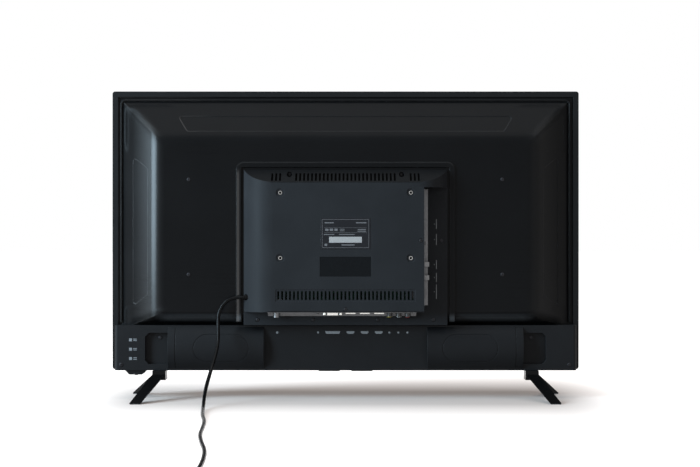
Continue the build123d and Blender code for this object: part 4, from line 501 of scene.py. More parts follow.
@dataclass(frozen=True)
class CoatedSteel(Finish):
    """Pressed steel sheet with a black coat.

    Attributes:
        peel: Size of the coat's ripple in metres.
        press_edge: Radius of the pressed edges in metres.
        rubbed_edge: Reach of the rubbed edges in metres.
        corner_edge: Radius of the mitres in the tray's corners in metres.
        raised: Y at which the tray's raised part starts, and the length of the change.
        corner: X, upper Z and lower Z beyond which the corners lie.
        corner_end: X and Z at which they end, short of the rim.
        corner_soft: Lengths of their change towards the panels, the rim and the lower crest.
        flank: X at which the side flanks start and end.
        flank_turn: Sideways part of the normal at the flanks' start and what their width adds.
        steep: Sideways normal at which a face counts as a flank, and the length of the change.
        low_crest: Height and half width of the painted highlight band in the lower crest.
        crest_end: X at which that band ends, and the length of the change.
        crest_highlight_colour: Colour of that painted highlight.
        left: X at which the left side starts, and the length of the change.
        ridge: X, half width and top of the worn side of the ridge round the cover.
        ridge_soft: Length of the change at its top.
        side_crest: X, half width and coat weight of the smoother crests at the sides.
        side_facing: Sideways normal at which those crests start, and the length of the change.
    """

    peel: float = 1.6 * MM
    press_edge: float = 1.8 * MM
    rubbed_edge: float = 1.4 * MM
    corner_edge: float = 16 * MM
    raised: tuple[float, float] = (-0.0255, 0.003)
    corner: tuple[float, float, float] = (0.262, 0.380, 0.146)
    corner_end: tuple[float, float] = (0.350, 0.462)
    corner_soft: tuple[float, float, float] = (0.02, 0.015, 0.01)
    flank: tuple[float, float] = (0.2927, 0.3571)
    flank_turn: tuple[float, float] = (-0.06, 0.27)
    steep: tuple[float, float] = (0.15, 0.25)
    low_crest: tuple[float, float] = (0.1262, 0.0075)
    crest_end: tuple[float, float] = (0.297, 0.02)
    crest_highlight_colour: Colour = (0.034, 0.037, 0.040)
    left: tuple[float, float] = (0.2, 0.05)
    ridge: tuple[float, float, float] = (0.1665, 0.0030, 0.358)
    ridge_soft: float = 0.01
    side_crest: tuple[float, float, float] = (0.305, 0.028, 0.27)
    side_facing: tuple[float, float] = (0.06, 0.2)

    def detail(self, graph: Graph) -> dict[str, Input]:
        """Ripple of the coat, faint rolling lines, speckle, rubbed edges, a painted highlight along the
        lower crest and smoother places.
        """
        peel = graph.noise(self.peel, 2.0)
        speckle = graph.noise(0.5 * MM, 1.0)
        rolled = graph.noise(5 * MM, 2.0, (0.04, 0.04, 1.0))
        clouds = graph.noise(120 * MM, 3.0)
        edge = graph.edges(self.rubbed_edge)
        deep = graph.axis("Y").ramp(*self.raised)
        colour = graph.mix(clouds * 0.7 + speckle * 0.3, self.shade(0.8), self.shade(1.25, 0.001))
        colour = graph.mix(edge * 0.3, colour, self.shade(1.0, 0.05))
        # Painted highlight: the lower crest is made paler, standing in for a reflection there.
        colour = graph.mix(self.painted_crest_highlight(graph) * deep, colour, self.crest_highlight_colour)
        rough = self.roughness + (clouds - 0.5) * 0.12 + (rolled - 0.5) * 0.06 + (speckle - 0.5) * 0.06
        sharp = graph.rounded(self.press_edge)
        smooth = graph.blend(self.corners(graph) * deep, sharp, graph.rounded(self.corner_edge))
        turned = self.turned(graph, smooth, deep)
        return {
            "Base Color": colour,
            "Roughness": rough.held(),
            "Coat Weight": self.polish(graph, smooth, edge, deep),
            "Normal": graph.bump(peel * 0.8 + speckle * 0.2, 0.03 * MM, turned),
        }

    def corners(self, graph: Graph) -> Value:
        """Mask of the tray's corners."""
        across = graph.axis("X").size()
        height = graph.axis("Z")
        side, top, bottom = self.corner
        side_end, top_end = self.corner_end
        inner, outer, lower = self.corner_soft
        beside = across.ramp(side, inner) * across.ramp(side_end, -outer)
        above = height.ramp(top, inner) * height.ramp(top_end, -outer)
        below = height.ramp(bottom, -lower)
        return beside * (above + below).held()

    def painted_crest_highlight(self, graph: Graph) -> Value:
        """Mask of the painted highlight band in the lower crest."""
        height, half = self.low_crest
        end, soft = self.crest_end
        band = (graph.axis("Z") - height).size().ramp(half, -half)
        return band * graph.axis("X").size().ramp(end, -soft)

    def polish(self, graph: Graph, normal: Value, edge: Value, deep: Value) -> Value:
        """Weight of the clear coat on the ridge, the left edges and the side crests.

        Args:
            graph: Graph of the material.
            normal: Normal with rounded edges.
            edge: Mask of the edges.
            deep: One on the tray's raised part.

        Returns:
            Number from 0 to 1.
        """
        across = graph.axis("X")
        left = across.ramp(*self.left)
        place, half, top = self.ridge
        ridge = (across - place).size().ramp(half, -half) * graph.axis("Z").ramp(top, -self.ridge_soft)
        place, half, weight = self.side_crest
        crest = (across.size() - place).size().ramp(half, -half)
        facing = graph.part(normal, "X").size().ramp(*self.side_facing)
        crest = crest * facing * (0.45 + left * 0.55)
        return (ridge * 1.3 + edge * left * 0.9 + crest * deep * weight).held()

    def turned(self, graph: Graph, normal: Value, deep: Value) -> Value:
        """Turns the side flanks' normal, so that they look drawn in a soft curve.

        Args:
            graph: Graph of the material.
            normal: Normal so far.
            deep: One on the tray's raised part.

        Returns:
            Unit normal.
        """
        start, end = self.flank
        sideways = graph.part(normal, "X")
        share = graph.beyond("X", start) / (end - start)
        steep = sideways.size().ramp(*self.steep) * deep
        amount = (self.flank_turn[0] + share * self.flank_turn[1]) * steep
        side = sideways.math("SIGN", sideways)
        push = graph.add("ShaderNodeCombineXYZ", None, {"X": amount * side})
        return graph.unit(graph.add("ShaderNodeVectorMath", {"operation": "ADD"}, {0: normal, 1: push}))


@dataclass(frozen=True)
class CoverPlastic(MouldedPlastic):
    """Plastic of the electronics cover, with a coarser field below the label and painted shade on slopes
    that face up.

    Attributes:
        patch: X, Z, width and height of the field.
        face: Y beyond which only the cover's rear face lies.
        upward: Upward normal at which painted shade starts to darken a slope, and the length of the change.
    """

    patch: tuple[float, float, float, float] = (0.0, 0.2062, 0.0786, 0.0303)
    face: float = 0.04
    upward: tuple[float, float] = (0.15, 0.25)

    def detail(self, graph: Graph) -> dict[str, Input]:
        """What any moulding has, the darker field and painted shade on slopes that face up."""
        inputs = super().detail(graph)
        x, z, width, height = self.patch
        beside = graph.beyond("X", width / 2, (x, 0.0, 0.0))
        above = graph.beyond("Z", height / 2, (0.0, 0.0, z))
        inside = (beside < 0.0) * (above < 0.0) * (graph.axis("Y") > self.face)
        weave = graph.noise(0.9 * MM, 1.0, (1.0, 1.0, 0.3))
        dark = graph.mix(weave, self.shade(0.25), self.shade(0.5))
        # Painted shade: faces that turn upwards are darkened towards a tenth of the mean colour.
        slope = graph.part(graph.true_normal(), "Z").ramp(*self.upward) * 0.8
        colour = graph.mix(slope, inputs["Base Color"], self.shade(0.1))
        inputs["Base Color"] = graph.mix(inside, colour, dark)
        inputs["Roughness"] = (inputs["Roughness"] + inside * 0.25).held()
        return inputs


@dataclass(frozen=True)
class BareMetal(Finish):
    """Plated, tinned, drawn or extruded metal.

    Attributes:
        lines: Stretch of the drawing lines on the three axes.
        stain: Share of dull spots.
    """

    metallic: float = 1.0
    specular: float = 0.5
    lines: Point = (1.0, 1.0, 1.0)
    stain: float = 0.3

    def detail(self, graph: Graph) -> dict[str, Input]:
        """Drawing lines, dull spots and darker handled places."""
        lines = graph.noise(0.8 * MM, 3.0, self.lines)
        dull = graph.noise(4 * MM, 4.0).ramp(0.45, 0.25) * self.stain
        colour = graph.mix(dull, self.colour, self.shade(0.62))
        rough = self.roughness + (lines - 0.5) * 0.2 + dull * 0.25
        relief = graph.bump(lines, 0.01 * MM)
        return {"Base Color": colour, "Roughness": rough.held(), "Normal": relief}


@dataclass(frozen=True)
class PostZinc(BareMetal):
    """Plated post: its plated colour only on the ring round its threaded hole, painted shade inside the hole
    and a darker colour farther out.

    Attributes:
        spread: Half distances between the posts on X and Z.
        middle: Height of the middle of the four posts.
        ring: Inner and outer radius of the bright ring in metres.
        hole_shade_and_dark_colour: Colour inside the hole, where it is painted shade, and outside the ring.
    """

    spread: tuple[float, float] = (0.1, 0.05)
    middle: float = 0.2695
    ring: tuple[float, float] = (2.08 * MM, 2.8 * MM)
    hole_shade_and_dark_colour: Colour = (0.02, 0.02, 0.02)

    def detail(self, graph: Graph) -> dict[str, Input]:
        """Ring in the plated colour, painted shade inside the hole, the same dark colour outside the ring,
        and what any bare metal has.
        """
        inputs = super().detail(graph)
        beside = graph.beyond("X", self.spread[0])
        above = graph.beyond("Z", self.spread[1], (0.0, 0.0, self.middle))
        away = (beside * beside + above * above) ** 0.5
        # Painted shade inside the threaded hole; the same dark colour beyond the ring.
        dull = ((away > self.ring[1]) + (away < self.ring[0])).held()
        inputs["Base Color"] = graph.mix(dull, inputs["Base Color"], self.hole_shade_and_dark_colour)
        return inputs


@dataclass(frozen=True)
class CircuitBoard(Finish):
    """Glass-fibre board with a solder mask over copper tracks.

    Attributes:
        track: Colour over the copper.
        solder: Colour of the solder points.
        track_cells: Size of the cells between the tracks in metres, and half a track's width in cells.
        point_cells: Distance of the solder points in metres, and the radius of one in cells.
    """

    track: Colour = (0.008, 0.04, 0.02)
    solder: Colour = (0.06, 0.06, 0.058)
    track_cells: tuple[float, float] = (7 * MM, 0.09)
    point_cells: tuple[float, float] = (3.2 * MM, 0.16)

    def detail(self, graph: Graph) -> dict[str, Input]:
        """Tracks along the borders of cells, solder points and the weave of the fibre."""
        size, half = self.track_cells
        tracks = graph.cells(size, "DISTANCE_TO_EDGE") < half
        pitch, radius = self.point_cells
        points = graph.cells(pitch) < radius
        weave = graph.noise(0.9 * MM, 1.0, (1.0, 1.0, 4.0))
        colour = graph.mix(tracks, self.colour, self.track)
        colour = graph.mix(points, colour, self.solder)
        rough = self.roughness + (weave - 0.5) * 0.1 - points * 0.15
        relief = graph.bump(tracks * 0.5 + points + weave * 0.2, 0.05 * MM)
        return {"Base Color": colour, "Roughness": rough.held(), "Metallic": points * 0.5, "Normal": relief}


@dataclass(frozen=True)
class Rubber(Finish):
    """Rubber, soft sheath or foam.

    Attributes:
        pores: Size of its texture in metres.
        depth: Depth of its texture in metres.
    """

    pores: float = 0.5 * MM
    depth: float = 0.04 * MM

    def detail(self, graph: Graph) -> dict[str, Input]:
        """Fine texture, bloom and handling marks."""
        pores = graph.cells(self.pores)
        bloom = graph.noise(9 * MM, 3.0)
        colour = graph.mix(bloom, self.colour, self.shade(2.2, 0.0012))
        rough = self.roughness + (bloom - 0.5) * 0.2
        return {
            "Base Color": colour,
            "Roughness": rough.held(),
            "Normal": graph.bump(pores, self.depth),
        }


@dataclass(frozen=True)
class ScreenGlass(Finish):
    """Dark panel with an anti-glare film and a narrow black margin.

    Attributes:
        half: Half width and half height of the picture area.
        middle: Height of the picture's middle.
        margin: Colour of the margin.
    """

    half: tuple[float, float] = (0.0, 0.0)
    middle: float = 0.0
    margin: Colour = (0.002, 0.002, 0.002)

    def detail(self, graph: Graph) -> dict[str, Input]:
        """Picture area, its cells and the film's fine haze."""
        beside = graph.beyond("X", self.half[0])
        above = graph.beyond("Z", self.half[1], (0.0, 0.0, self.middle))
        border = beside.math("MAXIMUM", beside, above) > 0.0
        haze = graph.noise(0.35 * MM, 2.0)
        clouds = graph.noise(150 * MM, 2.0)
        rows = graph.noise(0.8 * MM, 0.0, (1.0, 1.0, 0.05))
        area = graph.mix(clouds * 0.5 + rows * 0.2, self.colour, self.shade(1.7))
        colour = graph.mix(border, area, self.margin)
        rough = self.roughness + (haze - 0.5) * 0.06 - border * 0.04
        return {"Base Color": colour, "Roughness": rough.held(), "Normal": graph.bump(haze, 0.004 * MM)}


@dataclass(frozen=True)
class PaleSheet(Finish):
    """White film, reflector, lens or printed ink."""

    def detail(self, graph: Graph) -> dict[str, Input]:
        """Slight clouds and a fine tooth."""
        clouds = graph.noise(25 * MM, 3.0)
        tooth = graph.noise(0.4 * MM, 2.0)
        colour = graph.mix(clouds * 0.6 + tooth * 0.4, self.shade(0.9), self.colour)
        rough = self.roughness + (tooth - 0.5) * 0.12
        return {"Base Color": colour, "Roughness": rough.held(), "Normal": graph.bump(tooth, 0.01 * MM)}


FINISHES: dict[Slot, Finish] = {
    Slot.TRAY: CoatedSteel("tray_black", (0.0024, 0.0025, 0.0028), 0.30, 0.06, coat_roughness=0.22),
    Slot.SCREEN: ScreenGlass(
        "screen_dark", (0.004, 0.0042, 0.005), 0.16, 0.5, half=(0.3465, 0.1935), middle=0.267
    ),
    Slot.FOAM: Rubber("foam_black", (0.012, 0.012, 0.012), 0.9, 0.1, pores=0.8 * MM, depth=0.3 * MM),
    Slot.WHITE: PaleSheet("sheet_white", (0.82, 0.83, 0.83), 0.6, 0.3),
    Slot.LENS: PaleSheet("lens_clear", (0.78, 0.8, 0.82), 0.12, 0.6, coat=0.6),
    Slot.LAMP_BOARD: BareMetal("lamp_strip", (0.72, 0.72, 0.72), 0.45, stain=0.15),
    Slot.SCREW: BareMetal("screw_black", (0.022, 0.022, 0.024), 0.5, stain=0.5),
    Slot.POST: PostZinc("post_zinc", (0.42, 0.42, 0.41), 0.3, lines=(1.0, 0.1, 1.0)),
    Slot.LABEL: MouldedPlastic("label_film", (0.006, 0.0065, 0.008), 0.36, 0.12, grain=0.3 * MM),
    Slot.FOOT: MouldedPlastic(
        "foot_gloss", (0.0016, 0.0016, 0.0017), 0.26, 0.06, coat=0.02, wear=0.2, grain_depth=0.01 * MM
    ),
    Slot.PAD: Rubber("pad_rubber", (0.014, 0.014, 0.014), 0.8, 0.3),
    Slot.BOARD: CircuitBoard("board_green", (0.002, 0.010, 0.006), 0.5, 0.08),
    Slot.COMPONENT: MouldedPlastic("component_black", (0.014, 0.014, 0.014), 0.55, 0.3, grain=0.4 * MM),
    Slot.SLEEVE: MouldedPlastic("sleeve_dark", (0.012, 0.012, 0.04), 0.25, 0.5, coat=0.4),
    Slot.ALUMINIUM: BareMetal("aluminium_drawn", (0.7, 0.7, 0.71), 0.35, lines=(1.0, 1.0, 0.06)),
    Slot.SOCKET_METAL: BareMetal("socket_nickel", (0.66, 0.65, 0.62), 0.24, stain=0.15),
    Slot.TERMINAL: BareMetal("terminal_tin", (0.11, 0.11, 0.113), 0.45, lines=(0.1, 1.0, 0.1)),
    Slot.SOCKET_PLASTIC: MouldedPlastic("socket_black", (0.012, 0.012, 0.012), 0.4, 0.4),
    Slot.SPEAKER: MouldedPlastic("speaker_black", (0.012, 0.012, 0.012), 0.55, 0.3),
    Slot.CONE: Rubber("cone_paper", (0.03, 0.03, 0.032), 0.85, 0.2, pores=0.9 * MM, depth=0.1 * MM),
    Slot.MAGNET: BareMetal("magnet_ferrite", (0.09, 0.09, 0.095), 0.6, stain=0.8),
    Slot.RECEIVER: MouldedPlastic(
        "receiver_red", (0.03, 0.002, 0.004), 0.08, 0.5, coat=0.8, grain_depth=0.002 * MM
    ),
    Slot.KEY: MouldedPlastic("key_black", (0.012, 0.012, 0.013), 0.42, 0.35),
    Slot.SHEATH: Rubber("sheath_black", (0.0012, 0.0012, 0.0013), 0.24, 0.07, depth=0.006 * MM),
    Slot.PLUG: MouldedPlastic("plug_black", (0.011, 0.011, 0.0115), 0.5, 0.35),
    Slot.PIN: BareMetal("pin_nickel", (0.74, 0.71, 0.64), 0.18, stain=0.1),
    Slot.TIE: MouldedPlastic("tie_black", (0.014, 0.014, 0.014), 0.4, 0.4),
}


def placed(name: str, data: bpy.types.ID) -> bpy.types.Object:
    """Adds an object to the scene.

    Args:
        name: Name of the object.
        data: Its mesh, curve, lamp or camera.

    Returns:
        The new object.
    """
    item = bpy.data.objects.new(name, data)
    bpy.context.scene.collection.objects.link(item)
    return item


class Workshop:
    """Makes pieces, gives them their finish and sets them on their body."""

    SHARP_ANGLE = 32

    def __init__(self) -> None:
        """Starts with no material built."""
        self.built: dict[str, bpy.types.Material] = {}
        self.repeater = Repeater()

    def material(self, finish: Finish) -> bpy.types.Material:
        """Material of a finish, built once.

        Args:
            finish: The finish.

        Returns:
            Its material.
        """
        if finish.name not in self.built:
            self.built[finish.name] = finish.build()
        return self.built[finish.name]

    def dress(self, finish: Finish, *nodes: str) -> None:
        """Gives CAD nodes a finish.

        Args:
            finish: The finish.
            nodes: Names of the nodes.
        """
        for node in nodes:
            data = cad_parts[node].data
            data.materials.clear()
            data.materials.append(self.material(finish))
            log.info("dressed %s with %s", node, finish.name)

    def piece(
        self,
        name: str,
        data: bpy.types.Mesh | bpy.types.Curve,
        slot: Slot,
        finish: Finish | None = None,
        body: str = "set",
        smooth: bool = True,
    ) -> bpy.types.Object:
        """Adds a piece of the set.

        Args:
            name: Name of the piece.
            data: Its mesh or curve, already in place.
            slot: Slot whose finish it gets when no finish is given.
            finish: Its finish, or None for the slot's own.
            body: Body that it rides on.
            smooth: Whether a mesh is shaded smooth by angle.

        Returns:
            The new object.
        """
        item = placed(name, data)
        data.materials.clear()
        data.materials.append(self.material(finish or FINISHES[slot]))
        if smooth and isinstance(data, bpy.types.Mesh):
            data.shade_smooth()
            data.set_sharp_from_angle(angle=math.radians(self.SHARP_ANGLE))
        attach(item, body)
        log.info("made %s on %s", name, body)
        return item

    def repeat(
        self,
        name: str,
        template: bpy.types.Mesh,
        places: Sequence[Sequence[float]],
        slot: Slot,
        finish: Finish | None = None,
        turn: float = 0.0,
    ) -> bpy.types.Object:
        """Adds copies of a template as one piece of the set.

        Args:
            name: Name of the piece.
            template: Mesh around its own origin.
            places: Points in metres.
            slot: Slot whose finish the copies get when no finish is given.
            finish: Finish of the copies, or None for the slot's own.
            turn: Largest chance turn about Y, in radians.

        Returns:
            The new object.
        """
        material = self.material(finish or FINISHES[slot])
        return self.piece(name, self.repeater.bake(name, template, places, material, turn), slot, finish)


class Repeater:
    """Geometry Nodes group that sets a template on each vertex of a mesh."""

    SEED = 11

    def __init__(self) -> None:
        """Builds the group with its named inputs."""
        self.tree = bpy.data.node_groups.new("repeat_on_places", "GeometryNodeTree")
        face = self.tree.interface
        face.new_socket("Places", in_out="INPUT", socket_type="NodeSocketGeometry")
        self.inputs = {
            name: face.new_socket(name, in_out="INPUT", socket_type=f"NodeSocket{kind}").identifier
            for name, kind in (("Template", "Object"), ("Turn", "Float"), ("Finish", "Material"))
        }
        face.new_socket("Pieces", in_out="OUTPUT", socket_type="NodeSocketGeometry")
        given = self.tree.nodes.new("NodeGroupInput")
        points = self.node("GeometryNodeMeshToPoints", {"Mesh": given.outputs["Places"]})
        model = self.node("GeometryNodeObjectInfo", {"Object": given.outputs["Template"]})
        chance = self.node("FunctionNodeRandomValue", {"Seed": self.SEED, "Max": given.outputs["Turn"]})
        turn = self.node("ShaderNodeCombineXYZ", {"Y": chance.outputs["Value"]})
        copies = self.node(
            "GeometryNodeInstanceOnPoints",
            {
                "Points": points.outputs[0],
                "Instance": model.outputs["Geometry"],
                "Rotation": turn.outputs[0],
            },
        )
        real = self.node("GeometryNodeRealizeInstances", {"Geometry": copies.outputs[0]})
        dressed = self.node(
            "GeometryNodeSetMaterial", {"Geometry": real.outputs[0], "Material": given.outputs["Finish"]}
        )
        self.node("NodeGroupOutput", {"Pieces": dressed.outputs[0]})

    def node(self, kind: str, inputs: dict[str, object]) -> bpy.types.Node:
        """Adds a node.

        Args:
            kind: Node type.
            inputs: Outputs to link, or numbers to set, by the socket's name.

        Returns:
            The node.
        """
        node = self.tree.nodes.new(kind)
        for name, value in inputs.items():
            socket = next(entry for entry in node.inputs if entry.name == name and entry.enabled)
            if isinstance(value, bpy.types.NodeSocket):
                self.tree.links.new(value, socket)
            else:
                socket.default_value = value
        return node

    def bake(
        self,
        name: str,
        template: bpy.types.Mesh,
        places: Sequence[Sequence[float]],
        finish: bpy.types.Material,
        turn: float,
    ) -> bpy.types.Mesh:
        """Sets the template on each place and returns one plain mesh.

        Args:
            name: Name of the result.
            template: Mesh around its own origin.
            places: Points in metres.
            finish: Material of the copies.
            turn: Largest chance turn about Y, in radians.

        Returns:
            The mesh of all copies.
        """
        spots = bpy.data.meshes.new(f"{name}_places")
        spots.from_pydata([tuple(place) for place in places], [], [])
        carrier = placed(f"{name}_places", spots)
        model = bpy.data.objects.new(f"{name}_template", template)
        modifier = carrier.modifiers.new("repeat", "NODES")
        modifier.node_group = self.tree
        for key, value in (("Template", model), ("Turn", turn), ("Finish", finish)):
            modifier[self.inputs[key]] = value
        ready = carrier.evaluated_get(bpy.context.evaluated_depsgraph_get())
        baked = bpy.data.meshes.new_from_object(ready)
        baked.name = name
        carrier.modifiers.remove(modifier)
        bpy.data.objects.remove(carrier)
        bpy.data.objects.remove(model)
        return baked


def mesh_from(build: bmesh.types.BMesh, name: str) -> bpy.types.Mesh:
    """Turns a bmesh into a mesh with its faces outward.

    Args:
        build: Filled bmesh, freed here.
        name: Name of the mesh.

    Returns:
        The mesh.
    """
    bmesh.ops.remove_doubles(build, verts=build.verts, dist=1e-6)
    bmesh.ops.recalc_face_normals(build, faces=build.faces)
    mesh = bpy.data.meshes.new(name)
    build.to_mesh(mesh)
    build.free()
    return mesh


def circle(radius: float, steps: int) -> list[tuple[float, float]]:
    """Points of a circle round the origin.

    Args:
        radius: Its radius.
        steps: How many points.

    Returns:
        Their two coordinates in order.
    """
    angles = [2 * math.pi * number / steps for number in range(steps)]
    return [(radius * math.cos(angle), radius * math.sin(angle)) for angle in angles]


def bridge(build: bmesh.types.BMesh, loops: Sequence[Sequence[bmesh.types.BMVert]]) -> None:
    """Joins each closed loop of points to the next one.

    Args:
        build: Bmesh that holds the points.
        loops: Loops that have equally many points.
    """
    for first, second in zip(loops, loops[1:]):
        for number in range(len(first)):
            after = (number + 1) % len(first)
            build.faces.new((first[number], first[after], second[after], second[number]))


def revolve(
    name: str, profile: Outline, axis: Point, origin: Point, steps: int, hollow: bool = False
) -> bpy.types.Mesh:
    """Turns a profile about an axis.

    Args:
        name: Name of the mesh.
        profile: Distance along the axis and radius of each point, in order.
        axis: Direction of the axis.
        origin: Point of the axis at distance 0.
        steps: Points round the axis.
        hollow: Whether the profile closes on itself, so that the ring keeps its hole.

    Returns:
        The mesh.
    """
    build = bmesh.new()
    turned = Vector(axis).to_track_quat("Z", "Y").to_matrix()
    loops = []
    for along, radius in profile:
        spots = [Vector(origin) + turned @ Vector((x, y, along)) for x, y in circle(radius, steps)]
        loops.append([build.verts.new(spot) for spot in spots])
    if hollow:
        bridge(build, [*loops, loops[0]])
    else:
        bridge(build, loops)
        build.faces.new(loops[0])
        build.faces.new(loops[-1])
    return mesh_from(build, name)


def prism(build: bmesh.types.BMesh, outline: Outline, back: float, front: float) -> None:
    """Adds a flat plate parallel to the screen.

    Args:
        build: Bmesh to add to.
        outline: X and Z of its corners in order.
        back: Lower Y.
        front: Upper Y.
    """
    loops = [[build.verts.new((x, y, z)) for x, z in outline] for y in (back, front)]
    bridge(build, loops)
    for loop in loops:
        build.faces.new(loop)


def bevelled_box(name: str, size: Point, offset: float, segments: int) -> bpy.types.Mesh:
    """Box with bevelled edges round its own middle.

    Args:
        name: Name of the mesh.
        size: Its length along each axis.
        offset: Width of the bevel.
        segments: Steps of the bevel.

    Returns:
        The mesh.
    """
    build = bmesh.new()
    bmesh.ops.create_cube(build, size=1.0)
    bmesh.ops.scale(build, vec=size, verts=build.verts)
    bmesh.ops.bevel(build, geom=build.edges, offset=offset, segments=segments, affect="EDGES")
    return mesh_from(build, name)


def box(x: float, z: float, width: float, height: float) -> list[tuple[float, float]]:
    """Corners of a rectangle.

    Args:
        x: X of its middle.
        z: Z of its middle.
        width: Size along X.
        height: Size along Z.

    Returns:
        Its four corners in order.
    """
    return [(x + i * width / 2, z + k * height / 2) for i, k in ((-1, -1), (1, -1), (1, 1), (-1, 1))]


@dataclass(frozen=True)
class PanHead:
    """Pan-head screw with a cross recess: its seat at the origin, its head towards +Y.

    Attributes:
        shank: Length below the seat.
        tip: Length and radius of the shank's end.
        thread: Radius of the shank.
        crown: Height and radius at each bend of the head.
        arm: Length and half width of the cross.
        floor: Height of the cross's floor.
        taper: How much smaller the cross is there.
        steps: Points round the screw.
    """

    shank: float
    tip: tuple[float, float] = (0.8 * MM, 0.9 * MM)
    thread: float = 1.45 * MM
    crown: tuple[tuple[float, float], ...] = (
        (0.0, 2.9 * MM),
        (0.5 * MM, 2.9 * MM),
        (0.85 * MM, 2.6 * MM),
        (1.1 * MM, 2.0 * MM),
    )
    arm: tuple[float, float] = (1.55 * MM, 0.34 * MM)
    floor: float = 0.35 * MM
    taper: float = 0.7
    steps: int = 24

    def cross(self) -> list[tuple[float, float]]:
        """Corners of the cross.

        Returns:
            Their X and Z in order.
        """
        length, half = self.arm
        corners = []
        for quarter in range(4):
            cosine, sine = math.cos(quarter * math.pi / 2), math.sin(quarter * math.pi / 2)
            for x, z in ((length, half), (half, half), (half, length)):
                corners.append((x * cosine - z * sine, x * sine + z * cosine))
        return corners

    def mesh(self, name: str) -> bpy.types.Mesh:
        """Builds the screw.

        Args:
            name: Name of the mesh.

        Returns:
            The mesh.
        """
        tip_length, tip_radius = self.tip
        shaft = ((-self.shank, tip_radius), (tip_length - self.shank, self.thread), (0.0, self.thread))
        build = bmesh.new()
        rings = []
        for height, radius in (*shaft, *self.crown):
            rings.append([build.verts.new((x, height, z)) for x, z in circle(radius, self.steps)])
        bridge(build, rings)
        build.faces.new(rings[0])
        top = self.crown[-1][0]
        mouth = [build.verts.new((x, top, z)) for x, z in self.cross()]
        floor = [build.verts.new((x * self.taper, self.floor, z * self.taper)) for x, z in self.cross()]
        bridge(build, (mouth, floor))
        build.faces.new(floor)
        edges = []
        for loop in (mouth, rings[-1]):
            edges += [build.edges.get((loop[number - 1], loop[number])) for number in range(len(loop))]
        bmesh.ops.triangle_fill(build, edges=edges, use_beauty=True)
        return mesh_from(build, name)


def islands(node: str, reach: float) -> list[tuple[Vector, Vector]]:
    """Boxes of the separate pieces in a CAD node that lie apart in X and Z.

    Args:
        node: Name of the CAD node.
        reach: Largest distance in X and Z within one piece.

    Returns:
        Lowest and highest corner of each piece.
    """
    spots = np.array([tuple(vertex.co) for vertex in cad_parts[node].data.vertices])
    found = []
    while len(spots):
        near = np.hypot(spots[:, 0] - spots[0, 0], spots[:, 2] - spots[0, 2]) < reach
        group = spots[near]
        found.append((Vector(group.min(0)), Vector(group.max(0))))
        spots = spots[~near]
    return found


